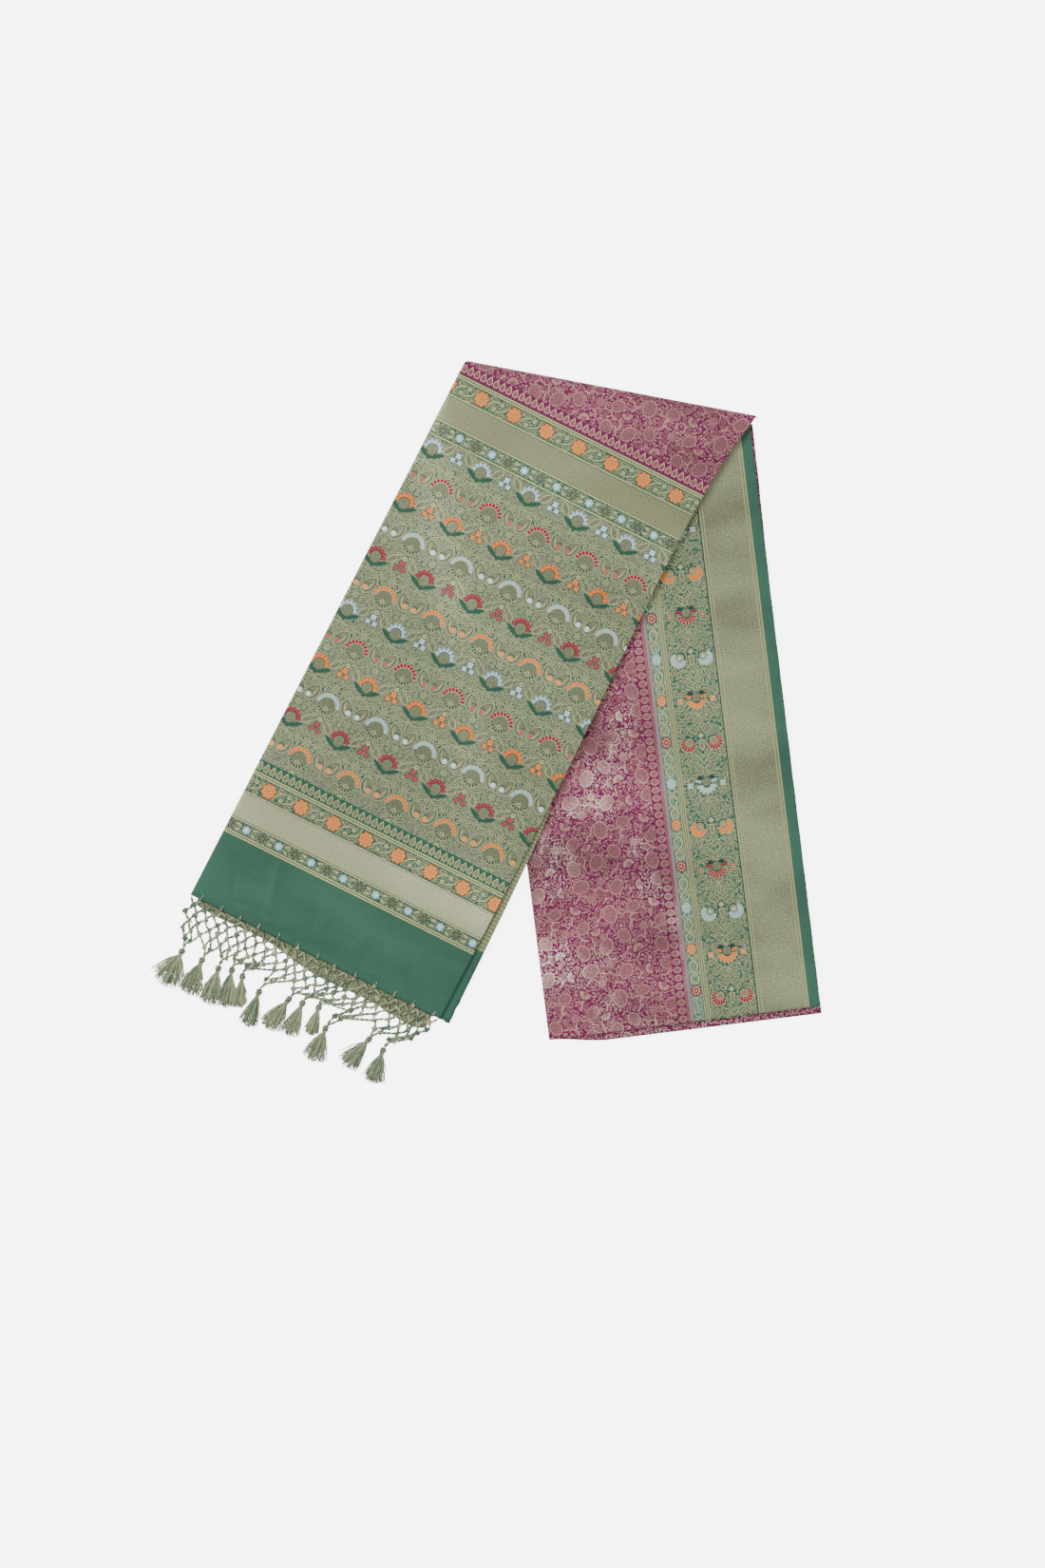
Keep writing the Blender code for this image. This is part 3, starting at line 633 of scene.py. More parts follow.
def pallu_width(along):
    """The leg's width, whose right edge draws in a little below the fold."""
    share = min(max(along / FOLD_RIGHT_ALONG, 0.0), 1.0)
    waist = PALLU_WAIST * share ** 4 * (1 - share) / 0.0819
    return HEM_LENGTH + (FOLD_RIGHT_ACROSS - HEM_LENGTH) * share - waist


def edge_turn(past):
    """How far the cloth has turned down, past an edge's last level line."""
    return min(max(past, 0.0) / EDGE_ROLL, math.pi / 2)


# Soft troughs and ridges pressed into the folded cloth: x and y in millimetres from the lower left
# corner, turn, length, width and rise
PALLU_CREASES = (
    (76, 47, 106, 44, 5.5, 1.9),
    (35, 34, 114, 34, 3.5, -0.8),
    (128, 40, 100, 34, 6.5, -0.7),
    (186, 34, 84, 30, 6.0, 0.7),
    (245, 30, 125, 32, 5.0, -0.8),
    (92, 12, 8, 24, 3.2, 0.7),
    (150, 9, 174, 28, 3.2, -0.6),
    (214, 12, 12, 24, 3.2, 0.7),
    (52, 15, 20, 18, 3.2, -0.5),
    (120, 110, 10, 90, 12, 0.6),
    (60, 118, 5, 50, 10, -0.3),
    (220, 105, 172, 80, 12, -0.3),
    (70, 260, 84, 150, 14, 0.7),
    (170, 330, 96, 180, 16, -0.7),
    (240, 420, 88, 160, 14, 0.7),
    (110, 480, 78, 150, 14, -0.6),
    (190, 585, 4, 110, 11, 0.35),
    (250, 640, 12, 70, 10, -0.35),
)


def creased(creases, x, y):
    """How far the creases lift or press down a spot, in metres."""
    total = 0.0
    for middle_x, middle_y, degrees, long, wide, rise in creases:
        turn = math.radians(degrees)
        dx = x - middle_x
        dy = y - middle_y
        ahead = dx * math.cos(turn) + dy * math.sin(turn)
        aside = dy * math.cos(turn) - dx * math.sin(turn)
        total += rise * math.exp(-((ahead / long) ** 2) * 3 - (aside / wide) ** 2)
    return total * MM


def pallu_surface(x, y, under=0.0):
    """Where a spot of the flat brocade lies, x and y in millimetres from the hem's left end."""
    across = x * MM
    along = y * MM
    width = pallu_width(along)
    left_turn = edge_turn(EDGE_ROLL - across)
    right_turn = edge_turn(across - width + EDGE_ROLL)
    hem_turn = edge_turn(EDGE_ROLL - along)
    turn = max(left_turn, right_turn, hem_turn)
    radius = EDGE_ROLL - under
    if left_turn:
        across = EDGE_ROLL - radius * math.sin(left_turn)
    if right_turn:
        across = width - EDGE_ROLL + radius * math.sin(right_turn)
    if hem_turn:
        along = EDGE_ROLL - radius * math.sin(hem_turn)
    place = HEM_LEFT + HEM_WAY * across + PALLU_WAY * along
    height = carried(place) + LEG_HEIGHT - EDGE_ROLL + radius * math.cos(turn)
    past = (place - FOLD_LEFT).dot(FOLD_OUTWARD)
    if turn == 0:
        calm = min(across, width - across, along) / CREASE_CALM
        lift = creased(PALLU_CREASES, x, y) * ease(calm) * ease(-past / (20 * MM))
        height += min(lift, 0.0) if under else lift
    if past > 0:
        reach = height - FOLD_AXIS_HEIGHT
        over = past / (carried(place) + LEG_HEIGHT - FOLD_AXIS_HEIGHT)
        place = place + FOLD_OUTWARD * (reach * math.sin(over) - past)
        height = FOLD_AXIS_HEIGHT + reach * math.cos(over)
    return Vector((place.x, place.y, height))


def area_of(outline):
    """The area that an outline goes round, below zero if it goes clockwise."""
    return sum((a.conjugate() * b).imag for a, b in zip(outline, outline[1:] + outline[:1])) / 2


def anticlockwise(outline):
    return outline if area_of(outline) > 0 else outline[::-1]


def woven_cells(outline, chart, grid, base, guides):
    """Cuts the flat cloth along the edges of its motifs. Each bit has the yarn that was laid over
    it last, and what lies hidden below leaves no cut. The guides are lines where the cloth bends.
    Gives the spots, and cells by yarn."""
    spots = list(outline)
    faces = [list(range(len(outline)))]
    names = [base]
    for name, shape in chart:
        faces.append(list(range(len(spots), len(spots) + len(shape))))
        spots += anticlockwise(shape)
        names.append(name)
    points = [Vector((spot.real, spot.imag)) for spot in spots]
    flat, _, cells, _, _, sources = delaunay_2d_cdt(points, [], faces, 1, 0.02)
    reached = [0.0] * len(faces)
    for cell, owners in zip(cells, sources):
        size = area_of([complex(*flat[index]) for index in cell])
        for owner in owners:
            reached[owner] += size
    spilt = {owner for owner, face in enumerate(faces)
             if reached[owner] > 1.2 * abs(area_of([spots[index] for index in face])) + 0.5}
    sides = {}
    for cell, owners in zip(cells, sources):
        if 0 in owners:
            name = names[max(owner for owner in owners if owner not in spilt)]
            for start, end in zip(cell, cell[1:] + cell[:1]):
                sides[start, end] = name
    near = {}
    for (start, end), name in sides.items():
        if sides.get((end, start)) != name:
            near.setdefault(start, {})[end] = name
            near.setdefault(end, {}).setdefault(start, sides.get((end, start)))
    for middle in list(near):
        if len(near[middle]) == 2:
            before, after = near[middle]
            way = flat[after] - flat[before]
            off = flat[middle] - flat[before]
            straight = abs(way.x * off.y - way.y * off.x) < 0.05 * way.length
            if straight and way.dot(off) > 0 and after not in near[before] and way.length < 3.5:
                near[before][after] = near[middle][after]
                near[after][before] = near[middle][before]
                del near[before][middle], near[after][middle], near[middle]
    kept = {index: place for place, index in enumerate(near)}
    corners = [flat[index] for index in near]
    edges = [(kept[start], kept[end]) for start in near for end in near[start]
             if start < end or start not in near[end]]
    wide = max(spot.real for spot in outline)
    low = complex(min(spot.real for spot in outline), min(spot.imag for spot in outline))
    for row in range(int((max(spot.imag for spot in outline) - low.imag) / grid)):
        for column in range(int((wide - low.real) / grid)):
            x = low.real + (column + 0.5 + 0.5 * (row % 2)) * grid
            corners.append(Vector((x, low.imag + (row + 0.5) * grid)))
    bends = []
    for guide in guides:
        bends += [(len(corners) + place, len(corners) + place + 1) for place in range(len(guide) - 1)]
        corners += [Vector((spot.real, spot.imag)) for spot in guide]
    flat, lines, cells, _, line_roots, _ = delaunay_2d_cdt(corners, edges + bends, [], 0, 0.04)
    by_side = {}
    for number, cell in enumerate(cells):
        for start, end in zip(cell, cell[1:] + cell[:1]):
            by_side[start, end] = number
    indexes = list(near)
    beside = {}
    for (first, last), owners in zip(lines, line_roots):
        for owner in owners:
            if owner >= len(edges):
                continue
            start, end = edges[owner]
            same_way = (flat[last] - flat[first]).dot(corners[end] - corners[start]) > 0
            ahead = (first, last) if same_way else (last, first)
            beside.setdefault(ahead, []).append(near[indexes[start]].get(indexes[end]))
            beside.setdefault(ahead[::-1], []).append(near[indexes[end]].get(indexes[start]))
    yarn_of = {by_side[side]: found[0] for side, found in beside.items()
               if side in by_side and None not in found}
    waiting = list(yarn_of)
    while waiting:
        number = waiting.pop()
        cell = cells[number]
        for start, end in zip(cell, cell[1:] + cell[:1]):
            other = by_side.get((end, start))
            if other is not None and other not in yarn_of and (end, start) not in beside:
                yarn_of[other] = yarn_of[number]
                waiting.append(other)
    return flat, [(cells[number], name) for number, name in yarn_of.items()]


def mapped_face(bm, corners, places, slot=0, smooth=True):
    """A face whose corners know their places on the flat cloth, in metres."""
    made = bm.faces.new(corners)
    made.material_index = slot
    made.smooth = smooth
    for loop, place in zip(made.loops, places):
        loop[bm.loops.layers.uv["cloth"]].uv = place


def new_piece(name, bm, finishes):
    """Makes the mesh a piece that rides in the frame, with a slot for each finish."""
    loose = [vert for vert in bm.verts if not vert.link_faces]
    bmesh.ops.delete(bm, geom=loose, context="VERTS")
    mesh = bpy.data.meshes.new(name)
    bm.to_mesh(mesh)
    bm.free()
    for finish in finishes:
        mesh.materials.append(finish)
    piece = bpy.data.objects.new(name, mesh)
    bpy.context.collection.objects.link(piece)
    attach(piece, "root")
    return piece


def cloth_piece(name, outline, chart, surface, grid, base, back, guides=()):
    """A woven stretch laid on its surface. A plain back and an edge make it a thin shell."""
    flat, cells = woven_cells(outline, chart, grid, base, guides)
    used = [base, back] + sorted({yarn_name for _, yarn_name in cells} - {base})
    bm = bmesh.new()
    bm.loops.layers.uv.new("cloth")
    front = {}
    ways = set()
    for cell, yarn_name in cells:
        for index in cell:
            if index not in front:
                front[index] = bm.verts.new(surface(flat[index].x, flat[index].y))
        corners = [front[index] for index in cell]
        mapped_face(bm, corners, [flat[index] * MM for index in cell], used.index(yarn_name))
        ways.update(zip(cell, cell[1:] + cell[:1]))
    edge = {start: end for start, end in ways if (end, start) not in ways}
    rim = [next(iter(edge))]
    while edge[rim[-1]] != rim[0]:
        rim.append(edge[rim[-1]])
    inner = [flat[index] for index in rim]
    count = len(inner)
    low = Vector((min(spot.x for spot in inner), min(spot.y for spot in inner)))
    high = Vector((max(spot.x for spot in inner), max(spot.y for spot in inner)))
    rough = grid * 2
    for row in range(int((high.y - low.y) / rough)):
        for column in range(int((high.x - low.x) / rough)):
            inner.append(low + Vector((column + 0.5, row + 0.5)) * rough)
    lining, _, cells, _, _, _ = delaunay_2d_cdt(inner, [], [list(range(count))], 1, 0.0)
    hidden = [bm.verts.new(surface(spot.x, spot.y, CLOTH_THICK if index < count else LINING_DEPTH))
              for index, spot in enumerate(lining)]
    for cell in cells:
        corners = [hidden[index] for index in reversed(cell)]
        mapped_face(bm, corners, [lining[index] * MM for index in reversed(cell)], 1)
    for place in range(count):
        after = (place + 1) % count
        corners = [front[rim[after]], front[rim[place]], hidden[place], hidden[after]]
        places = [flat[rim[after]], flat[rim[place]], lining[place], lining[after]]
        mapped_face(bm, corners, [spot * MM for spot in places])
    return new_piece(name, bm, [YARNS[yarn_name] for yarn_name in used])


def band(name, low, high):
    """A stripe right across the cloth, in one yarn."""
    lower = [complex(x, low) for x in range(-20, 341, 6)]
    return (name, lower + [complex(x, high) for x in range(340, -21, -6)])


def dotted_line(y, dark):
    """A cord-like line of slanting stitches."""
    return [band(dark, y - 1.2, y + 1.2), band("dashes", y - 0.8, y + 0.8)]


SCROLL_PITCH = 38.4
DROP_PITCH = 7.55


def teardrop(rim, fill):
    """An upright drop on a bright edge, in a row of its like."""
    right = [1.5 + 2.9j, 2.9 + 0.4j, 3.3 - 2.1j, 2.1 - 4.5j]
    outer = [5.3j, *right, *(-spot.conjugate() for spot in right[::-1])]
    return [(rim, outer), (fill, [spot * 0.78 - 0.3j for spot in outer])]


def large_scroll():
    """One repeat of the wide scroll: an orange flower of eight petals and a leafy vine."""
    shapes = []
    half = SCROLL_PITCH / 2
    for side in (-1, 1):
        shapes += vine([side * (7.5 - 5.5j), side * (11 + 1.5j), side * (half + 5.2j)], "field", 1.7, 0.8, 3)
        shapes += leaves((8.5, 4.6, side * 40, 0, side * (8.6 + 6.6j), 90 - 110 * side))
        shapes += moved(blossom(6, 2.9), side * (half - 3.4 - 3.6j))
        shapes += moved([("gold", leaf(5, 2.4, 30))], side * (11.5 - 7.0j), 60 - 60 * side)
    shapes += [("field", scallops(8, 9.2, 1.4)), ("orange", scallops(8, 8.4, 1.8))]
    shapes.append(("pale orange", scallops(8, 7.1, 1.8)))
    for count in range(8):
        way = cmath.rect(1, math.radians(22.5 + 45 * count))
        shapes.append(("gold", petal(way, 2.6, 4.4 - 0.75j, 5.9)))
        gap = cmath.rect(1, math.radians(45 * count))
        shapes.append(("orange", petal(gap, 2.0 - 0.3j, 6.2 - 0.25j)))
    shapes.append(("orange", disc(1.7, 8)))
    return shapes


def small_scroll():
    """One repeat of the narrow scroll: a silver flower, a dark rayed one, and leaves between."""
    half = SCROLL_PITCH / 2
    shapes = []
    for side in (-1, 1):
        for up in (-1, 1):
            at = complex(side * half / 2, up * 2.2)
            sprout = [("field", leaf(7.0, 3.8, 20 * up)), ("bright", leaf(6.5, 2.6, 20 * up))]
            shapes += moved(sprout, at - 3.0 * side, 180 * (side < 0) + 18 * up * side)
            shapes.append(("gold", disc(1.1, 6, complex(side * half / 2, up * 5.0))))
            shapes.append(("bright", disc(0.8, 5, complex(side * half * 0.82, up * 5.4))))
        shapes.append(("gold", disc(1.2, 6, complex(side * half / 2, 0))))
    shapes += [("field", disc(5.4, 10)), ("silver", scallops(6, 4.7, 0.8))]
    shapes.append(("pale silver", scallops(6, 2.4, 0.5)))
    rayed = [("field", disc(6.0, 10)), ("gold", scallops(8, 5.6, 0.7))]
    for count in range(8):
        rayed.append(("stripe", petal(cmath.rect(1, math.radians(45 * count)), 1.3 - 0.3j, 4.6 - 0.8j)))
    return shapes + moved(rayed, half)


def oval_bloom(long, wide, petals):
    """A large full-blown flower, longer than wide, whose inside is all specks."""
    edge = squashed(scallops(petals, 1, 0.14, 3), long / 2, wide / 2)
    shapes = [("magenta", [spot * 1.1 for spot in edge]), ("rose line", edge)]
    shapes.append(("rose gold", [spot * 0.86 for spot in edge]))
    for ring, count in ((0.62, 9), (0.3, 5)):
        for place in range(count):
            way = cmath.rect(ring, 2 * math.pi * (place + ring) / count)
            at = complex(way.real * long / 2, way.imag * wide / 2)
            aside = 1j * way / abs(way)
            out = way / abs(way)
            shapes.append(("magenta", [at + out, at - aside * 1.3, at + out * 0.5, at + aside * 1.3]))
    return shapes


def side_bloom(size):
    """A flower seen from the side: a half round of striped petals on a small cup."""
    shapes = [("magenta", arc(size * 1.1, -20, 200, 8) + [-size * 0.5j])]
    for count in range(7):
        way = cmath.rect(size, math.radians(4 + 28.7 * count))
        shapes.append(("rose line", [-size * 0.2j, *petal(way, 0.8 - 0.17j, 1)]))
    shapes.append(("rose gold", arc(size * 0.42, -30, 210, 6) + [-size * 0.55j]))
    return shapes


def veined_leaf(long, wide, bend):
    shapes = [("magenta", leaf(long + 0.6, wide + 1.2, bend)), ("rose gold", leaf(long, wide, bend))]
    return shapes + [("magenta", stem(midrib(long, bend, 0.12, 0.8), 0.5, 0.5, 1))]


def sprig(side):
    """A branching stalk with leaves in pairs and a curl, that ends in a small flower."""
    stalk = [0, 5 + side * 3j, 11 + side * 3.4j, 17 - side * 0.4j, 21 - side * 5j]
    curl = [11 + side * 3.4j, 15 + side * 7.4j, 19.6 + side * 8.4j, 21.4 + side * 5.2j, 19.2 + side * 4.0j]
    shoot = [5 + side * 3j, 6.4 + side * 7.6j, 3.8 + side * 10.4j]
    shapes = []
    for route, width, tip in ((stalk, 1.3, 0.8), (curl, 1.1, 0.6), (shoot, 1.1, 0.7)):
        shapes.append(("rose line", stem(route, width, tip, 2)))
    for at, turn in ((4 + side * 1.6j, -46), (9 + side * 4.2j, 62), (13 + side * 3.0j, -58),
                     (17.4 + side * 8.8j, 70), (7 + side * 8.4j, 30)):
        shapes += moved(veined_leaf(6.4, 3.4, side * 18), at, side * turn)
    return shapes


CREEPER_WIDE = 84
CREEPER_TALL = 90
# Places in the creeper's repeat: x, y and turn, then each sprig's side or each bloom's kind and size
CREEPER_SPRIGS = (
    (-40, -38, 72, 1),
    (-14, -42, 60, -1),
    (16, -30, 80, 1),
    (-36, -8, 40, 1),
    (-2, -12, 96, -1),
    (22, -4, 50, 1),
    (-26, 16, 84, -1),
    (2, 22, 30, 1),
    (30, 22, 76, -1),
    (-40, 34, 10, -1),
    (10, 2, 150, 1),
    (38, -22, 130, 1),
)
CREEPER_BLOOMS = (
    (-28, -30, 62, "oval", 20),
    (6, -36, 20, "side", 7.0),
    (31, -34, 110, "oval", 19),
    (-8, -20, 130, "oval", 17),
    (-38, -12, 200, "side", 6.4),
    (14, -12, 75, "round", 5.4),
    (33, -8, 40, "oval", 17),
    (-20, 4, 95, "oval", 21),
    (5, 10, 10, "oval", 16),
    (28, 13, 150, "side", 7.2),
    (-38, 22, 80, "round", 5.6),
    (-10, 32, 55, "oval", 19),
    (16, 32, 100, "side", 6.6),
    (36, 36, 15, "oval", 20),
    (-26, 40, 60, "round", 4.8),
)


def creeper():
    """One repeat of the magenta silk's all-over creeper: blooms, leaves and branching stalks."""
    shapes = []
    for x, y, turn, side in CREEPER_SPRIGS:
        shapes += moved(sprig(side), complex(x, y), turn)
    for x, y, turn, kind, size in CREEPER_BLOOMS:
        if kind == "oval":
            bloom = oval_bloom(size, size * 0.78, 13)
        elif kind == "side":
            bloom = side_bloom(size)
        else:
            bloom = blossom(8, size, "rose line", "rose gold", "magenta")
        shapes += moved(bloom, complex(x, y), turn)
    return shapes


PALLU_TILT = 0.012
MAIN_PITCH = 57.4
FAN_FROM = 180.6
CROWN_FROM = 217.16
ROW_PITCH = 64.335
MAIN_COLOURS = ("red", "orange", "silver")
# Where each band across the cloth starts and ends, what it is, and where a scroll's first flower is
PALLU_BANDS = (
    (76.5, 82.0, "double dots", 0),
    (82.0, 93.6, "small scroll", 21.8),
    (93.6, 96.4, "dots", 0),
    # The lower wide gold band is the ribbed gold's lighter copy, a painted highlight.
    (96.4, 123.6, "lit gold", 0),
    (123.6, 126.4, "dots", 0),
    (126.4, 144.6, "large scroll", 24.0),
    (144.6, 150.0, "double dots", 0),
    (150.0, 163.0, "drops", 0),
    (552.0, 554.8, "dots", 0),
    (554.8, 568.0, "small scroll", 32.8),
    (568.0, 570.8, "dots", 0),
    (570.8, 597.6, "rib gold", 0),
    (597.6, 600.4, "dots", 0),
    (600.4, 618.0, "large scroll", 34.6),
    (618.0, 623.2, "double dots", 0),
)
PLAIN_TO = 76.5
MAGENTA_FROM = 623.2
MAGENTA_TO = 740
DROPS = 44
FIELD_FROM = 163.0
FIELD_TO = 552.0


def drop_row(rim, fill, middle, bead, low, radius):
    """A row of drops right across the cloth, over a row of small beads."""
    shapes = []
    for place in range(DROPS):
        at = -4 + place * DROP_PITCH
        shapes += moved(teardrop(rim, fill), complex(at, middle))
        for side in (-1.8, 1.8):
            shapes.append((bead, disc(radius, 5, complex(at + side, low))))
    return shapes


def pallu_chart():
    chart = [band("foliage", FIELD_FROM - 20, FIELD_TO + 20)]
    for row in range(12):
        count = row // 2
        if row % 2:
            y = round(CROWN_FROM + ROW_PITCH * count, 1)
            group = crown_group(MAIN_COLOURS[count % 3])
        else:
            y = round(FAN_FROM + ROW_PITCH * count, 1)
            group = fan_group(MAIN_COLOURS[(count + 1) % 3])
        first = 5.5 + y * PALLU_TILT + (0 if row % 2 else MAIN_PITCH / 2)
        for column in range(-1, 6):
            chart += moved(group, complex(first + column * MAIN_PITCH, y))
    chart.append(band("rose foliage", MAGENTA_FROM, MAGENTA_TO))
    for column in range(4):
        chart += moved(creeper(), complex(50 + column * CREEPER_WIDE, MAGENTA_FROM + 52))
    chart.append(band("magenta", MAGENTA_FROM, MAGENTA_FROM + 13))
    chart += drop_row("rose bright", "rose gold", MAGENTA_FROM + 7.4, "rose gold", MAGENTA_FROM + 1.3, 0.55)
    chart += [band("field", PLAIN_TO, FIELD_FROM), band("field", FIELD_TO, MAGENTA_FROM)]
    for low, high, kind, first in PALLU_BANDS:
        middle = (low + high) / 2
        if kind in YARNS:
            chart.append(band(kind, low, high))
        elif kind == "dots":
            chart += dotted_line(middle, "leaf")
        elif kind == "double dots":
            chart += dotted_line(middle - 1.35, "shade") + dotted_line(middle + 1.35, "shade")
        elif kind == "drops":
            chart += drop_row("bright", "gold", middle, "bright", low + 0.9, 0.5)
        else:
            chart.append(band("open foliage", low + 0.6, high - 0.6))
            repeat = small_scroll() if kind == "small scroll" else large_scroll()
            for place in range(-1, 8):
                chart += moved(repeat, complex(first + place * SCROLL_PITCH, middle))
    return chart


OUTLINE_STEP = 4.0
OUTLINE_COLUMNS = 75
ROLL_SPREAD = (math.pi / 2 - 1) * EDGE_ROLL / MM


def pallu_outline():
    """The flat cut of the stretch, out to the end of its rolled edges and round the fold."""
    wrap_up = (2 * LEG_HEIGHT + CLEAR - FOLD_AXIS_HEIGHT) * FOLD_WRAP / MM * FOLD_STRETCH
    top_left = PALLU_LEFT_EDGE / MM + wrap_up
    tall = FOLD_RIGHT_ALONG / MM + wrap_up
    width = HEM_LENGTH / MM
    across = FOLD_RIGHT_ACROSS / MM
    spots = []
    for place in range(OUTLINE_COLUMNS - 1):
        x = -ROLL_SPREAD + place * (width + 2 * ROLL_SPREAD) / (OUTLINE_COLUMNS - 1)
        spots.append(complex(x, -ROLL_SPREAD))
    rows = int(tall / OUTLINE_STEP)
    for place in range(rows):
        y = -ROLL_SPREAD + (tall + ROLL_SPREAD) * place / rows
        spots.append(complex(pallu_width(y * MM) / MM + ROLL_SPREAD, y))
    for place in range(OUTLINE_COLUMNS):
        x = across + ROLL_SPREAD - (across + 2 * ROLL_SPREAD) * place / OUTLINE_COLUMNS
        spots.append(complex(x, top_left + FOLD_SLOPE * x))
    rows = int(top_left / OUTLINE_STEP)
    for place in range(rows):
        spots.append(complex(-ROLL_SPREAD, top_left - (top_left + ROLL_SPREAD) * place / rows))
    return spots


ROLL_ROWS = (1.5, 0.72, -0.07)


def pallu_guides():
    """Lines along the rolled edges, and past the slanting fold, where the cloth bends."""
    lines = []
    right = pallu_width(FOLD_RIGHT_ALONG) / MM
    for inward in ROLL_ROWS:
        lines.append([complex(inward, y) for y in range(0, 648, 6)])
        lines.append([complex(pallu_width(y * MM) / MM - inward, y) for y in range(0, 728, 6)])
        lines.append([complex(x, inward) for x in range(0, 296, 6)])
    for past in (-4.0, -1.8, 0, 1.5, 3.0, 4.5, 6.0, 7.5, 9.0, 10.5, 12.0, 13.5):
        from_edge = PALLU_LEFT_EDGE / MM
        beyond = past * FOLD_STRETCH
        lines.append([complex(x, from_edge + FOLD_SLOPE * x + beyond) for x in range(0, int(right), 6)])
    for x, y, turn, long, wide, _ in PALLU_CREASES:
        if wide < 7:
            way = cmath.rect(1, math.radians(turn))
            for aside in (-1.6, -0.9, -0.4, 0, 0.4, 0.9, 1.6):
                middle = complex(x, y) + 1j * way * aside * wide
                lines.append([middle + way * long * share / 10 for share in range(-8, 9)])
    return lines


pallu = cloth_piece("pallu_face", pallu_outline(), pallu_chart(), pallu_surface, 8.0, "plain green", "back",
                    pallu_guides())
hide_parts("pallu_stretch")

# The body leg: the same length of silk coming out from under the pallu leg. Its selvage runs up
# the right side, with a gold band, a panel of flowers and a narrow scroll woven beside it.
BODY_RIGHT = BODY_LEFT + BODY_END_WAY * BODY_END
BODY_FOLD_LEFT = FOLD_LEFT + polar(1.5 * MM, FOLD_ANGLE)
BODY_FOLD_RIGHT = FOLD_RIGHT - polar(3.0 * MM, FOLD_ANGLE)
SELVAGE_WAY = (BODY_FOLD_RIGHT - BODY_RIGHT).normalized()
OFF_SELVAGE = Vector((SELVAGE_WAY.y, -SELVAGE_WAY.x))
HEM_RIGHT = HEM_LEFT + HEM_WAY * HEM_LENGTH

BODY_CREASES = (
    (-50, 60, 100, 90, 12, 1.0),
    (-120, 90, 84, 110, 14, -1.0),
    (-200, 60, 100, 90, 16, 1.3),
    (-250, 120, 80, 100, 13, -0.9),
    (-160, 220, 92, 130, 17, 1.2),
    (-60, 300, 95, 150, 13, -0.6),
    (-110, 380, 84, 120, 14, 0.6),
    (-30, 80, 6, 60, 15, -1.1),
    (-34, 318, 172, 64, 15, -1.1),
    (-40, 200, 4, 60, 18, 0.8),
    (-36, 455, 8, 60, 18, 0.9),
    (-30, 555, 165, 60, 15, -1.0),
    (-4, 160, 14, 16, 4, 0.9),
)


LEFT_WAY = (BODY_FOLD_LEFT - BODY_LEFT).normalized()
END_WAY = (BODY_RIGHT - BODY_LEFT).normalized()
# The rolled edges, each with a spot on it and the way out over it
BODY_EDGES = (
    (BODY_RIGHT, OFF_SELVAGE),
    (BODY_LEFT, Vector((-LEFT_WAY.y, LEFT_WAY.x))),
    (BODY_LEFT, Vector((END_WAY.y, -END_WAY.x))),
)


def body_spot(x, y):
    """A spot of the body leg, in millimetres off its selvage and up from its lower end."""
    return BODY_RIGHT + OFF_SELVAGE * (x * MM) + SELVAGE_WAY * (y * MM)


def body_surface(x, y, under=0.0):
    """Where a spot of the flat silk lies, x and y in millimetres from the selvage's lower end."""
    place = body_spot(x, y)
    height = LEG_HEIGHT - under
    calm = 1.0
    for corner, outward in BODY_EDGES:
        past = (place - corner).dot(outward) + EDGE_ROLL
        calm = min(calm, -past / CREASE_CALM)
        if past > 0:
            turn = edge_turn(past)
            radius = EDGE_ROLL - under
            place = place + outward * (radius * math.sin(turn) - past)
            height = min(height, LEG_HEIGHT - EDGE_ROLL + radius * math.cos(turn))
    height += creased(BODY_CREASES, x, y) * ease(calm)
    return Vector((place.x, place.y, height))


def on_body(place):
    away = place - BODY_RIGHT
    return complex(away.dot(OFF_SELVAGE), away.dot(SELVAGE_WAY)) / MM


def body_outline():
    corners = [on_body(spot) for spot in (BODY_LEFT, BODY_RIGHT, BODY_FOLD_RIGHT, BODY_FOLD_LEFT)]
    left_up = (corners[3] - corners[0]) / abs(corners[3] - corners[0])
    right_up = (corners[2] - corners[1]) / abs(corners[2] - corners[1])
    along = (corners[1] - corners[0]) / abs(corners[1] - corners[0])
    down = -1j * along
    corners[0] += ROLL_SPREAD * (down - along)
    corners[1] += ROLL_SPREAD * (down + along)
    corners[2] += ROLL_SPREAD * (-1j * right_up)
    corners[3] += ROLL_SPREAD * (1j * left_up)
    spots = []
    for start, end in zip(corners, corners[1:] + corners[:1]):
        count = int(abs(end - start) / OUTLINE_STEP)
        spots += [start + (end - start) * place / count for place in range(count)]
    return spots


def body_guides():
    """Lines along the rolled edges of the body leg."""
    corners = [on_body(spot) for spot in (BODY_LEFT, BODY_RIGHT, BODY_FOLD_RIGHT, BODY_FOLD_LEFT)]
    lines = []
    for start, end in ((1, 2), (3, 0), (0, 1)):
        away = corners[end] - corners[start]
        way = away / abs(away)
        steps = range(0, int(abs(away)), 6)
        for inward in ROLL_ROWS:
            lines.append([corners[start] + way * ahead + 1j * way * inward for ahead in steps])
    return lines


def shows_on_body(outline):
    """Whether a motif comes out from under the pallu leg."""
    edge_way = (FOLD_RIGHT - HEM_RIGHT).normalized()
    for spot in (outline[0], outline[len(outline) // 2]):
        away = body_spot(spot.real, spot.imag) - HEM_RIGHT
        if away.x * edge_way.y - away.y * edge_way.x > -18 * MM:
            return True
    return False


def upright_band(name, first, last):
    """A stripe up the cloth, between two distances from the selvage."""
    up = [complex(-last, y) for y in range(-10, 700, 6)]
    return (name, up + [complex(-first, y) for y in range(688, -16, -6)])


def upright_line(distance):
    wide = upright_band("shade", distance - 0.9, distance + 0.9)
    return [wide, upright_band("upright dashes", distance - 0.6, distance + 0.6)]


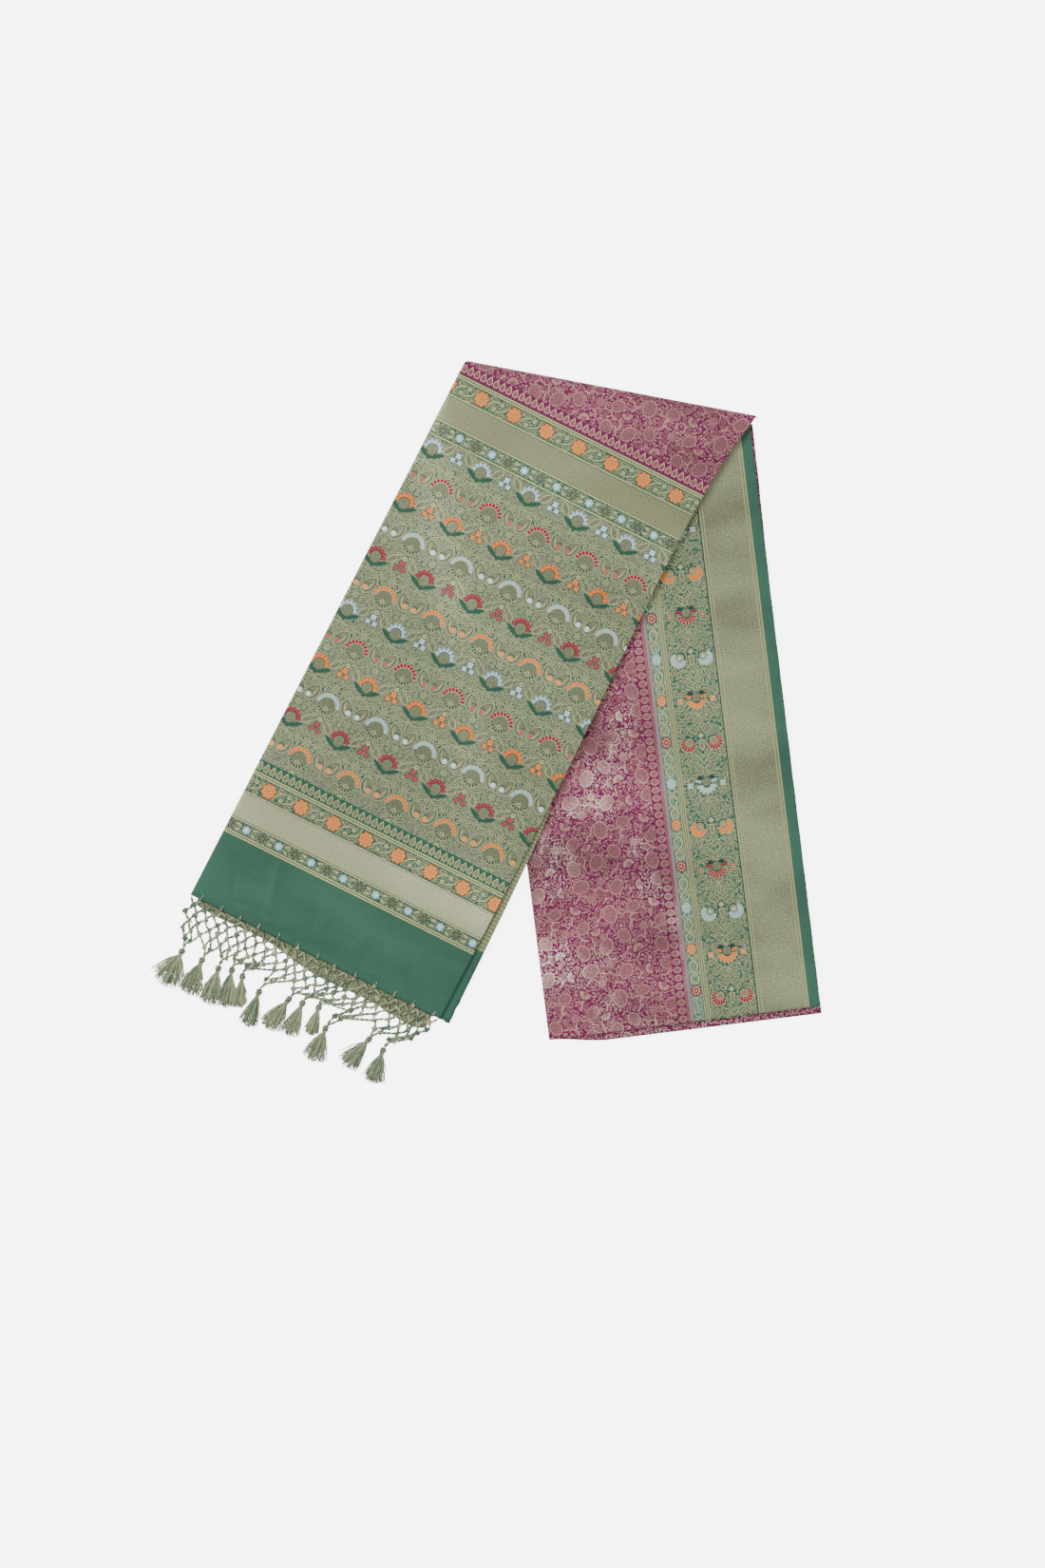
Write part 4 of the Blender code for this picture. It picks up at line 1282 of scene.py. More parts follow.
def single_fan(colour):
    """A fan of petals that hangs from a dome, a floret at each side, palmettes round it."""
    one_side = leaves((13, 6.0, 30, 4, 1.6 + 13.0j, 30), (14, 6.2, -24, 3, 4.4 + 9.4j, 6),
                      (10, 5.0, 20, 0, 12.8 - 5.0j, -44), (11, 5.0, 24, 0, 8.0 - 12.0j, -60),
                      (10, 4.4, -30, 0, 2.0 - 13.5j, -66), (9, 4.6, 40, 0, 20 + 4.0j, 66))
    one_side += moved(floret(3.8, colour, "bright", "field"), 17.4 - 0.4j)
    one_side += [("stripe", [1.4 + 8.0j, 5.6 + 4.4j, 10.4 + 6.0j, 8.8 + 8.0j, 5.4 + 10.2j, 4.0 + 8.2j])]
    one_side += [(colour, [4.6 + 1.6j, 10.8 + 2.4j, 11.6 + 5.6j, 8.2 + 4.8j, 5.6 + 4.2j])]
    one_side += vine([0.8 + 17.6j, 6 + 21.6j, 12.6 + 25.6j], width=1.4)
    for turn, long in ((-88, 13), (-66, 12), (-44, 11), (-22, 9)):
        one_side += leaves((long, 4.6, -18, 0, 0.6 - 15.0j, turn))
    shapes = both_sides(one_side) + leaves((8, 6.4, 0, 0, 9.5j, 90))
    shapes.append(("field", arc(11.6, 192, 341, 12) + [5.2j]))
    for count in range(7):
        way = cmath.rect(1, math.radians(-90 + (count - 3) * 24))
        lobe = petal(way, 4 - 1.0j, 8.4 - 1.85j, 10.8 - 1.2j, 11.4)
        shapes.append(("bright", [spot * 1.02 for spot in lobe]))
        shapes.append((colour, [way * 0.5 + spot * 0.92 - (spot - way * abs(spot)) * 0.16 for spot in lobe]))
        shapes.append((ACCENTS[colour], petal(way, 6.2 - 0.3j, 9.4)))
    shapes += [("stripe", disc(5.2, 10, 2.2j)), ("gold", disc(4.6, 9, 2.4j))]
    for spot in (2.2j, 1.9 + 2.2j, -1.9 + 2.2j, 4.2j, 0.2j):
        shapes.append(("stripe", disc(0.5, 4, spot)))
    return shapes


def half_fan(colour):
    """A fan turned outward: a broad sweep of lobed petals round a small rayed disc."""
    shapes = [("stripe", disc(6.6, 12))]
    for count in range(9):
        way = cmath.rect(1, math.radians(-82 + 20.5 * count))
        size = 12.4 - 0.24 * (count - 4) ** 2
        lobe = petal(way, 4.2 - 0.7j, size - 1.6 - 2.1j, size - 1.0j, size - 0.2)
        shapes.append(("bright", [spot * 1.025 for spot in lobe]))
        shapes.append((colour, [way * 0.6 + spot * 0.93 - (spot - way * abs(spot)) * 0.14 for spot in lobe]))
    shapes.append(("leaf", disc(5.3, 12)))
    for count in range(12):
        shapes.append(("bright", petal(cmath.rect(1, math.radians(30 * count)), 3.0 - 0.4j, 5.0 - 0.75j)))
    return shapes + [("gold", disc(3.2, 8)), (ACCENTS[colour], disc(2.2, 6)), ("gold", disc(0.9, 5))]


def double_fan(colour):
    """Two fans back to back on one vase-like stem, with a lattice below."""
    one_side = leaves((14, 6.6, 24, 4, 2.2 + 9.6j, 20), (11, 6.0, -34, 3, 1.6 + 11.6j, 62))
    one_side += moved(blossom(5, 1.7), 21.6 + 12.4j)
    one_side += vine([0.8 - 21.5j, 5.4 - 15.4j, 10.5 - 12.6j, 14 - 15.4j], width=1.2)
    one_side += vine([5.4 - 15.4j, 2.4 - 13.4j, 3.4 - 10.4j])
    one_side += leaves((11, 4.8, 16, 0, 12.4 - 12.6j, -66), (12, 4.4, 10, 0, 18.0 - 8.6j, -62),
                       (8, 4.4, 30, 0, 4.6 - 18.4j, -30))
    shapes = both_sides(one_side + moved(half_fan(colour), 12.6 + 0.6j, -52, 0.9))
    for name, right, low, high in (
            ("field", (3.6 - 6.5j, 3.8 - 1j, 5 + 3.4j, 4 + 8.6j), -10.6j, [11.6j]),
            ("bright", (2.6 - 6.5j, 2.8 - 1j, 3.6 + 2.4j), -9.8j, []),
            ("gold", (1.8 - 6j, 2.0 - 1j, 2.6 + 1.6j), -8.8j, []),
            ("bright", (3.4 + 6.6j,), 3.2j, [10j])):
        shapes.append((name, [low, *right, *high, *(-spot.conjugate() for spot in right[::-1])]))
    for spot in (8.2j, 5.0j, 1.6 + 6.6j, -1.6 + 6.6j):
        shapes.append(("stripe", disc(0.75, 4, spot)))
    for name, wide, top, low in (("field", 3.2, -12.2j, -18.6j), ("bright", 2.4, -13.0j, -17.8j),
                                 ("gold", 1.5, -13.9j, -16.9j)):
        shapes.append((name, [top, wide - 15.4j, low, -wide - 15.4j]))
    return shapes


PANEL_FIRST = 23.2
PANEL_PITCH = 45.17
PANEL_CENTRE = 91.5
DOUBLE_COLOURS = ("red", "silver", "orange")
SINGLE_COLOURS = ("orange", "red", "silver")
SCROLL_CENTRE = 128.8
SCROLL_FIRST = 32.3
BODY_SCROLL_PITCH = 44.25
SCROLL_COLOURS = ("red", "orange", "silver")
BEAD_CENTRE = 146.3
BEAD_PITCH = 8.75


def narrow_scroll(colour):
    """One repeat of the narrow border: an oval flower of eight petals, and a vine in two curves."""
    shapes = []
    for side in (1, -1):
        route = [7j, side * 3.6 + 10j, side * 4.0 + 14.6j, 19j - side * 0.4, -side * 3.8 + 23.6j,
                 -side * 3.8 + 29j, 33j, side * 3 + 37j]
        shapes += vine(route, "teal", 1.5, 0.9, 2)
    for at, turn, long in ((-0.4 + 12.4j, 96, 5.2), (0.4 + 26.4j, 84, 5.4), (3.4 + 21j, -70, 4.0),
                           (-3.6 + 17.4j, 110, 4.0), (3.4 + 33.4j, 70, 3.6), (-3.2 + 34.2j, 120, 3.4)):
        leaflet = [("teal", leaf(long + 0.8, 4.8, 16)), ("bright", leaf(long + 0.4, 4.0, 16))]
        shapes += moved(leaflet + [("gold", leaf(long * 0.9, 2.7, 16))], at, turn)
    flower = [("teal", disc(6.5, 10)), (colour, scallops(8, 6.0, 0.9, 3))]
    for count in range(8):
        flower.append(("bright", disc(1.15, 5, cmath.rect(1, math.radians(22.5 + 45 * count)) * 3.7)))
    flower.append(("bright", disc(1.3, 6)))
    return shapes + [(name, squashed(outline, 0.9, 1.06)) for name, outline in flower]


def body_chart():
    chart = [upright_band("rose foliage", 141, 330)]
    repeat = creeper()
    for column in range(3):
        for row in range(8):
            chart += moved(repeat, complex(-190 - column * CREEPER_WIDE, 30 + row * CREEPER_TALL))
    chart.append(upright_band("magenta", 141.5, 151.5))
    for place in range(76):
        at = complex(-BEAD_CENTRE, 4 + place * BEAD_PITCH)
        for name, bead in (("rose line", disc(4.1, 10)), ("rose gold", disc(3.2, 8))):
            chart.append((name, squashed(bead, 1.08, 0.92, at)))
    for name, first, last in (("rose gold", 138.2, 141.5), ("lilac", 135.2, 138.2), ("teal", 123.0, 135.2),
                              ("teal foliage", 124.0, 134.4)):
        chart.append(upright_band(name, first, last))
    for place in range(15):
        at = complex(-SCROLL_CENTRE, SCROLL_FIRST + place * BODY_SCROLL_PITCH)
        chart += moved(narrow_scroll(SCROLL_COLOURS[place % 3]), at)
    chart.append(upright_band("gold", 116.5, 123.0))
    for distance in (117.4, 119.8, 122.2):
        chart += upright_line(distance)
    chart.append(upright_band("open foliage", 66.6, 116.5))
    for place in range(-1, 15):
        turn = place // 2 % 3
        group = single_fan(SINGLE_COLOURS[turn]) if place % 2 else double_fan(DOUBLE_COLOURS[turn])
        chart += moved(group, complex(-PANEL_CENTRE, PANEL_FIRST + place * PANEL_PITCH))
    chart.append(upright_band("stripe", 65.6, 66.6))
    chart.append(upright_band("body gold", 11.1, 65.6))
    for distance in (12.2, 15.4, 61.2, 64.4):
        chart += upright_line(distance)
    chart.append(upright_band("plain green", -6, 11.1))
    return [(name, shape) for name, shape in chart if len(shape) > 60 or shows_on_body(shape)]


body = cloth_piece("body_face", body_outline(), body_chart(), body_surface, 7.0, "magenta", "magenta back",
                   body_guides())
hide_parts("body_stretch")

# The layers under the two legs that show past their edges: the next turn of the folded pallu
# at its right, the next turn of the body at its right and lower end, all the same woven length.
SLOT_HOLD = 5.5
SLOT_TOP = 3.4 * MM
PALLU_UNDER_SHOW = 11.2
PALLU_UNDER_LONG = 250.8
BODY_SIDE_LONG = (BODY_FOLD_RIGHT - BODY_RIGHT).length / MM


def pallu_under_surface(x, y, under=0.0):
    """X is counted from the pallu's right edge, in millimetres."""
    along = y * MM
    place = HEM_LEFT + HEM_WAY * (pallu_width(along) + x * MM) + PALLU_WAY * along
    sag = 0.25 * MM * (1 + math.sin(y * 0.09)) * ease(x / 8)
    return Vector((place.x, place.y, carried(place) + SLOT_TOP - sag - under))


def pallu_under_outline():
    outer = []
    for count in range(64):
        y = PALLU_UNDER_LONG * count / 63
        frayed = 0.35 * math.sin(y * 1.9) + 0.25 * math.sin(y * 4.3) if y < 30 else 0.0
        outer.append(complex(PALLU_UNDER_SHOW * math.sqrt(1 - 0.96 * count / 63) + frayed, y))
    lower = [complex(-SLOT_HOLD + 2.4 * count, 0.6 * math.sin(count * 2.1)) for count in range(7)]
    inner = [complex(-SLOT_HOLD, PALLU_UNDER_LONG * (1 - count / 50)) for count in range(50)]
    return lower[:-1] + outer + inner


def pallu_under_chart():
    chart = [("gold", [-8 + 83j, 16 + 83j, 16 + 260j, -8 + 260j])]
    draw = random.Random(21)
    for row in range(38):
        y = 86 + row * 4.4
        for column in range(6):
            at = complex(-4.5 + column * 3.1 + 1.5 * (row % 2), y)
            heart = "stripe" if draw.random() < 0.3 else "field"
            chart += [("bright", disc(1.25, 6, at)), (heart, disc(0.55, 5, at))]
    return chart


pallu_under = cloth_piece("pallu_under_layer", pallu_under_outline(), pallu_under_chart(),
                          pallu_under_surface, 6.0, "plain green", "back")
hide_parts("pallu_under_stretch")


def body_under_surface(x, y, under=0.0):
    place = body_spot(x, y)
    return Vector((place.x, place.y, SLOT_TOP - under))


def body_under_outline():
    """An L along the selvage and the lower end, of what shows and what the fold holds."""
    left = on_body(BODY_LEFT)
    end_way = -left / abs(left)
    down = -1j * end_way
    outer = []
    for count in range(48):
        station = 0.996 * (1 - count / 48)
        show = 0.9 + 2.1 * ease((station - 0.7) / 0.3) + 0.15 * math.sin(count * 1.7)
        outer.append(complex(show, station * BODY_SIDE_LONG))
    for count in range(50):
        share = 1 - count / 49
        show = 7.5 * ease(share / 0.22) + 0.4
        outer.append(left * (1 - share) + down * show + end_way * 0.9 * (1 - count / 49))
    inner = []
    for count in range(50):
        share = count / 49
        inner.append(left * (1 - share) * 0.995 - down * SLOT_HOLD - end_way * SLOT_HOLD * share)
    for count in range(1, 48):
        inner.append(complex(-SLOT_HOLD, 8 + (0.996 * BODY_SIDE_LONG - 8) * count / 47))
    return (outer + inner)[::-1]


body_under = cloth_piece("body_under_layer", body_under_outline(), [], body_under_surface, 8.0,
                         "rose foliage", "magenta back")
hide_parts("body_under_stretch")

# The inner end: a strip woven with rows of small gold scales, that comes out below the hem, under
# the net, and falls to the table.
INNER_END_SHOW = 19.0
INNER_END_LEAST = 6.0
INNER_END_DROP = 11.0
INNER_END_RISE = 2.4 * MM


def inner_end_height(depth):
    return INNER_END_RISE * (1 - ease(depth / INNER_END_DROP))


def inner_end_show(share):
    wave = 2.2 * math.sin(share * 15.0)
    grown = INNER_END_LEAST + (INNER_END_SHOW - INNER_END_LEAST) * ease(share * 1.25)
    rounded = math.sqrt(max(1 - ((share - 0.9) / 0.1) ** 2, 0.02)) if share > 0.9 else 1
    return (grown + wave) * rounded


def hem_place(along, depth):
    """A spot on the table side of the hem, in metres along it and out from it."""
    return HEM_LEFT + polar(along, HEM_ANGLE) + polar(depth, HEM_ANGLE - math.pi / 2)


def inner_end_surface(x, y, under=0.0):
    place = hem_place(x * MM, -y * MM)
    return Vector((place.x, place.y, inner_end_height(-y) + 1.0 * MM - under))


def inner_end_outline():
    wide = HEM_LENGTH / MM
    lower = []
    for count in range(120):
        share = 0.03 + 0.94 * count / 119
        lower.append(complex(share * wide, -inner_end_show(share) + 0.2 * math.sin(count * 2.3)))
    return lower + [complex(wide * (0.97 - 0.94 * count / 60), SLOT_HOLD) for count in range(61)]


def inner_end_chart():
    chart = []
    for row in range(9):
        for column in range(70):
            at = complex(6 + column * 4.2 + 2.1 * (row % 2), 3 - row * 3.0)
            for name, radius in (("shade", 2.1), ("bright", 1.7), ("gold", 1.2)):
                chart.append((name, [at + spot for spot in arc(radius, 0, 180, 5)]))
    return chart


inner_end = cloth_piece("inner_end_strip", inner_end_outline(), inner_end_chart(), inner_end_surface, 5.0,
                        "gold", "back")
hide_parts("inner_end_stretch")

# The folded layers between: the rest of the sari, whose rounded folds show as fine ridges round
# the sides of each leg. Where a layer comes out, the ridges leave it room.
PILE = 6.0
FOLDS = 7
SLOT_LOW = 2.0
SLOT_HIGH = 3.9
SLOT_DEPTH = 6.3


def fold_profile():
    """Heights up the side, and how far each lies inside the outline, in millimetres."""
    rows = [(0.0, 0.9)]
    for fold in range(FOLDS):
        for rise, inset in ((0.12, 0.5), (0.5, 0.12), (0.88, 0.5)):
            rows.append(((fold + rise) * PILE / FOLDS, inset + 0.14 * (fold % 2) + 0.2 * (fold == 4)))
    return rows + [(PILE, 2.2)]


def pile_piece(name, outline, slotted, surface, finish, top_step):
    """A closed block from its outline, drawn in at each height by the folds, or by the gap that
    a layer comes out of where the outline is slotted."""
    rows = fold_profile()
    count = len(outline)
    inward = []
    for place in range(count):
        way = outline[(place + 1) % count] - outline[place - 1]
        inward.append(1j * way / abs(way))
    bm = bmesh.new()
    bm.loops.layers.uv.new("cloth")
    rings = []
    for rise, inset in rows:
        ring = []
        for place, spot in enumerate(outline):
            gap = SLOT_LOW - 0.05 <= rise <= SLOT_HIGH and slotted[place]
            drawn = spot + inward[place] * (SLOT_DEPTH if gap else inset)
            ring.append((drawn, bm.verts.new(surface(drawn.real, drawn.imag, rise))))
        rings.append(ring)
    for level, (lower, upper) in enumerate(zip(rings, rings[1:])):
        for place in range(count):
            after = (place + 1) % count
            corners = (lower[place][1], lower[after][1], upper[after][1], upper[place][1])
            spots = ((place, level), (after, level), (after, level + 1), (place, level + 1))
            mapped_face(bm, corners, [(way * 4 * MM, step * 0.3 * MM) for way, step in spots])
    xs = [spot.real for spot in outline]
    ys = [spot.imag for spot in outline]
    for ring, rise, flip in ((rings[-1], PILE, False), (rings[0], 0.0, True)):
        spots = [Vector((spot.real, spot.imag)) for spot, _ in ring]
        for row in range(int((max(ys) - min(ys)) / top_step)):
            for column in range(int((max(xs) - min(xs)) / top_step)):
                spots.append(Vector((min(xs) + (column + 0.5) * top_step, min(ys) + (row + 0.5) * top_step)))
        flat, _, cells, _, _, _ = delaunay_2d_cdt(spots, [], [list(range(count))], 1, 0.0)
        verts = [vert for _, vert in ring]
        verts += [bm.verts.new(surface(spot.x, spot.y, rise)) for spot in flat[count:]]
        for cell in cells:
            corners = cell[::-1] if flip else cell
            places = [flat[index] * MM for index in corners]
            mapped_face(bm, [verts[index] for index in corners], places, smooth=False)
    return new_piece(name, bm, [YARNS[finish]])


SIDE_STEP = 5.0


def side_spots(corners):
    """Spots along a closed run of corners, and which side each is on."""
    spots = []
    sides = []
    for side, (start, end) in enumerate(zip(corners, corners[1:] + corners[:1])):
        count = max(int(abs(end - start) / SIDE_STEP), 1)
        spots += [start + (end - start) * place / count for place in range(count)]
        sides += [side] * count
    return spots, sides


PILE_WRAP = math.radians(75)


def pallu_pile_surface(x, y, rise):
    place = HEM_LEFT + HEM_WAY * (x * MM) + PALLU_WAY * (y * MM)
    past = (place - FOLD_LEFT).dot(FOLD_OUTWARD)
    height = carried(place) + rise * MM
    if past > 0:
        turn = min(past / (FOLD_AXIS_HEIGHT + 0.1 * MM), PILE_WRAP)
        reach = height - FOLD_AXIS_HEIGHT
        place = place + FOLD_OUTWARD * (reach * math.sin(turn) - past)
        height = FOLD_AXIS_HEIGHT + reach * math.cos(turn)
    return Vector((place.x, place.y, height))


def pallu_pile_outline():
    wrap_up = PILE_WRAP * FOLD_AXIS_HEIGHT / MM * FOLD_STRETCH
    right = [complex(pallu_width(y * MM) / MM - 4 * ease((y - 670) / 40), y) for y in range(0, 716, 6)]
    far = FOLD_RIGHT_ACROSS / MM - 4
    right.append(complex(far, FOLD_RIGHT_ALONG / MM - 1))
    top = [complex(far, FOLD_RIGHT_ALONG / MM + wrap_up), complex(0, PALLU_LEFT_EDGE / MM + wrap_up)]
    corners = [0j, *right, *top]
    spots, sides = side_spots(corners)
    slotted = [side == 0 or (side < len(right) and spot.imag < 252) for spot, side in zip(spots, sides)]
    return spots, slotted


pallu_spots, pallu_slotted = pallu_pile_outline()
pallu_pile = pile_piece("pallu_folds", pallu_spots, pallu_slotted, pallu_pile_surface, "plain green", 14)
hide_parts("pallu_layers")

BODY_FOLD_RADIUS = 5.6


def body_pile_surface(x, y, rise):
    place = body_spot(x, y)
    past = (place - FOLD_LEFT).dot(FOLD_OUTWARD)
    height = rise * MM
    if past > 0:
        radius = BODY_FOLD_RADIUS * MM
        turn = min(past / radius, PILE_WRAP)
        place = place + FOLD_OUTWARD * (radius * math.sin(turn) - past)
        low = FOLD_AXIS_HEIGHT * (1 - math.cos(turn))
        height = low + (PILE * MM - low) * rise / PILE
    return Vector((place.x, place.y, height))


def body_pile_outline():
    wrap = PILE_WRAP * BODY_FOLD_RADIUS
    corners = [on_body(spot) for spot in (BODY_LEFT, BODY_RIGHT, BODY_FOLD_RIGHT)]
    corners.append(on_body(BODY_FOLD_RIGHT + FOLD_OUTWARD * wrap * MM))
    corners.append(on_body(BODY_FOLD_LEFT + FOLD_OUTWARD * wrap * MM))
    corners.append(on_body(BODY_FOLD_LEFT))
    spots, sides = side_spots(corners)
    return spots, [side in (0, 1) for side in sides]


body_spots, body_slotted = body_pile_outline()
body_pile = pile_piece("body_folds", body_spots, body_slotted, body_pile_surface, "magenta", 24)
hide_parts("body_layers")

# The fringe: cords of green, cream and olive yarn twisted together, knotted by hand into a net
# that hangs from the hem, and gathered by twos into tassels with a wrapped head.
NET_COLUMNS = 24
NET_CORD = 2.2 * MM
NET_SEED = 4
NET_JITTER = 1.5 * MM
NET_STEP = 1.1 * MM
NET_OVER_CLOTH = 1.3 * MM
NET_OVER_TABLE = 0.6 * MM
# How far below the hem each row of knots hangs, and how much the tassels pull it their way
NET_ROWS = (
    (1.6, 0.0),
    (9.5, 0.03),
    (17.5, 0.10),
    (25.5, 0.22),
    (33.5, 0.38),
)
NET_GATHER = 0.52
NET_GATHER_OPEN = 3.6 * MM
NET_LEAVES_CLOTH = 24.0 * MM
NET_ON_TABLE = 36.0 * MM
# Each tassel's place along and below the hem, its turn, its skirt's length and how far that spreads
TASSELS = (
    (19, 54, 30, 37, 27),
    (42, 53, 24, 35, 17),
    (61, 53, 17, 36, 13),
    (74, 48, 11, 37, 9),
    (87, 49, 9, 30, 8),
    (111, 56, 20, 35, 12),
    (144, 49, 37, 35, 15),
    (158, 46, 24, 34, 12),
    (175, 42, 17, 27, 8),
    (192, 59, 23, 34, 17),
    (240, 49, 43, 35, 16),
    (257, 53, 20, 32, 15),
)


def fibre(name, colour, between):
    """Spun yarn: fine fibres that run unevenly dark and light."""
    finish = Finish(name, Roughness=0.6, Specular_IOR_Level=THREAD_SPECULAR)
    spot = finish.node("ShaderNodeTexCoord", {}, {}, "Object")
    hair = finish.node("ShaderNodeTexNoise", {}, {"Vector": spot, "Scale": 1400.0, "Detail": 2.0})
    finish.feed("Base Color", finish.blend(finish.ramp(hair, 0.3, 0.62), between, colour))
    finish.relief(hair, 0.4, 0.2 * MM)
    return finish.material


CORDS = [
    fibre("green yarn", (0.110, 0.190, 0.125), (0.040, 0.085, 0.055)),
    fibre("cream yarn", (0.520, 0.540, 0.310), (0.220, 0.250, 0.140)),
    fibre("olive yarn", (0.330, 0.370, 0.220), (0.130, 0.160, 0.095)),
]


def around(aside, upward, turn):
    """The way out from a cord's middle line, at a turn round it."""
    return aside * math.cos(turn) + upward * math.sin(turn)


def way_at(route, place):
    """The way that a route runs at one of its points."""
    return (route[min(place + 1, len(route) - 1)] - route[max(place - 1, 0)]).normalized()


def tube(bm, route, radius, sides, slot, ends=(1.0, 1.0)):
    """A round thread along a route of points, closed at both ends."""
    rings = []
    for place, spot in enumerate(route):
        ahead = way_at(route, place)
        aside = ahead.cross(Vector((0, 0, 1)))
        aside = aside.normalized() if aside.length > 0.05 else Vector((1, 0, 0))
        upward = aside.cross(ahead)
        share = place / (len(route) - 1)
        thick = radius * (ends[0] + (ends[1] - ends[0]) * share)
        ring = []
        for count in range(sides):
            ring.append(bm.verts.new(spot + around(aside, upward, 2 * math.pi * count / sides) * thick))
        rings.append(ring)
    faces = [bm.faces.new(rings[0]), bm.faces.new(rings[-1][::-1])]
    for lower, upper in zip(rings, rings[1:]):
        for count in range(sides):
            after = (count + 1) % sides
            faces.append(bm.faces.new((lower[after], lower[count], upper[count], upper[after])))
    for face in faces:
        face.material_index = slot
        face.smooth = True


PLY_OFF = 0.52
PLY_THICK = 0.62
PLY_PAIRS = ((0, 1), (0, 1), (0, 2), (2, 1))


def plied(bm, route, radius, draw, pitch=10.5 * MM):
    """Two yarns twisted loosely round each other along a route."""
    lengths = [0.0]
    for start, end in zip(route, route[1:]):
        lengths.append(lengths[-1] + (end - start).length)
    phase = draw.uniform(0, 6.28)
    for side, slot in enumerate(draw.choice(PLY_PAIRS)):
        spots = []
        for place, spot in enumerate(route):
            ahead = way_at(route, place)
            aside = ahead.cross(Vector((0, 0, 1))).normalized()
            turn = phase + side * math.pi + 2 * math.pi * lengths[place] / pitch
            spots.append(spot + around(aside, aside.cross(ahead), turn) * radius * PLY_OFF)
        tube(bm, spots, radius * PLY_THICK, 6, slot)


def net_height(depth):
    """The middle height of the cords, which lie over the inner end and then on the table."""
    over = inner_end_height(depth / MM) + NET_OVER_CLOTH
    lowered = ease((depth - NET_LEAVES_CLOTH) / (NET_ON_TABLE - NET_LEAVES_CLOTH))
    return over + (NET_OVER_TABLE - over) * lowered + NET_CORD / 2


def head_place(column):
    index = min(max((column - 1) / 2, 0.0), len(TASSELS) - 1.0)
    low = min(int(index), len(TASSELS) - 2)
    share = index - low
    return Vector(TASSELS[low][:2]).lerp(Vector(TASSELS[low + 1][:2]), share) * MM


def net_knots():
    """Every knot of the net by row and column, in metres along and below the hem."""
    draw = random.Random(NET_SEED)
    knots = {}
    pitch = (HEM_LENGTH - 2 * NET_CORD) / NET_COLUMNS
    for row_count, (depth, pull) in enumerate(NET_ROWS):
        for count in range(NET_COLUMNS + 1 - row_count % 2):
            column = count + 0.5 * (row_count % 2)
            hung = Vector((NET_CORD + column * pitch, depth * MM))
            spot = Vector((hung.x + (head_place(column).x - hung.x) * pull, hung.y))
            if row_count:
                spot += Vector((draw.uniform(-1, 1), draw.uniform(-1, 1))) * NET_JITTER
            knots[row_count, column] = spot
    last = len(NET_ROWS) - 1
    for count, tassel in enumerate(TASSELS):
        head = Vector(tassel[:2]) * MM
        middle = 2 * count + 1
        knots[last + 2, middle] = head
        for side in (-0.5, 0.5):
            above = (knots[last, middle] + knots[last, middle + 2 * side]) / 2
            gathered = above.lerp(head, NET_GATHER)
            gathered.x = (gathered.x + head.x + 2 * side * NET_GATHER_OPEN) / 2
            knots[last + 1, middle + side] = gathered
    return knots


def net_piece():
    knots = net_knots()
    draw = random.Random(12)
    bm = bmesh.new()
    for (row, column), spot in knots.items():
        for side in (-0.5, 0.5):
            below = knots.get((row + 1, column + side))
            if below is None:
                continue
            bow = Vector((side * 3.2 * MM * draw.uniform(-1.0, 1.4), draw.uniform(-0.4, 1.8) * MM))
            route = []
            steps = max(int((below - spot).length / NET_STEP), 4)
            for step in range(steps + 1):
                share = step / steps
                at = spot.lerp(below, share) + bow * 4 * share * (1 - share)
                place = hem_place(at.x, at.y)
                route.append(Vector((place.x, place.y, net_height(at.y))))
            plied(bm, route, NET_CORD / 2 * draw.uniform(1.0, 1.4), draw)
        if row and row < len(NET_ROWS) + 1:
            place = hem_place(spot.x, spot.y)
            centre = Vector((place.x, place.y, net_height(spot.y)))
            knot(bm, centre, draw.uniform(1.8, 2.5) * MM, draw)
    return new_piece("fringe_net_cords", bm, CORDS)


def knot(bm, centre, radius, draw):
    """A small overhand knot: one yarn wound over and under itself."""
    turn = draw.uniform(0, 3.14)
    route = []
    for step in range(19):
        angle = 2 * math.pi * step / 18
        x = math.sin(angle) + 2 * math.sin(2 * angle)
        y = math.cos(angle) - 2 * math.cos(2 * angle)
        off = Vector((x * math.cos(turn) - y * math.sin(turn), x * math.sin(turn) + y * math.cos(turn),
                      -math.sin(3 * angle) * 0.8))
        route.append(centre + off * radius * 0.34)
    tube(bm, route, radius * 0.5, 5, draw.choice((0, 0, 1, 2)))


net = net_piece()
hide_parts("fringe_net")

# A tassel: a ball wound with the ends of the cords, tied off with olive yarn, and a skirt of
# loose, slightly wavy threads that lie on the table.
HEAD_PROFILE = ((0.9, 1.4), (2.2, 2.7), (4.2, 3.2), (6.0, 2.8), (7.8, 2.3), (9.6, 1.9))
HEAD_HEIGHT = 3.8 * MM
SKIRT_FROM = 10.2 * MM
STRANDS = 150
STRAND_TURN = 2.39996
WOUND_YARNS = (0, 1, 2, 0, 2)
WOUND_THICK = 0.85 * MM
WOUND_APART = 1.2566
CORE_THICK = 2.0 * MM
TIE_FROM = 9.9 * MM
TIE_RADIUS = 1.95
TIE_THICK = 0.42 * MM
TIP_HEIGHT = 0.9 * MM
SKIRT_LOOSE = 11
SKIRT_ROOT = 1.7 * MM


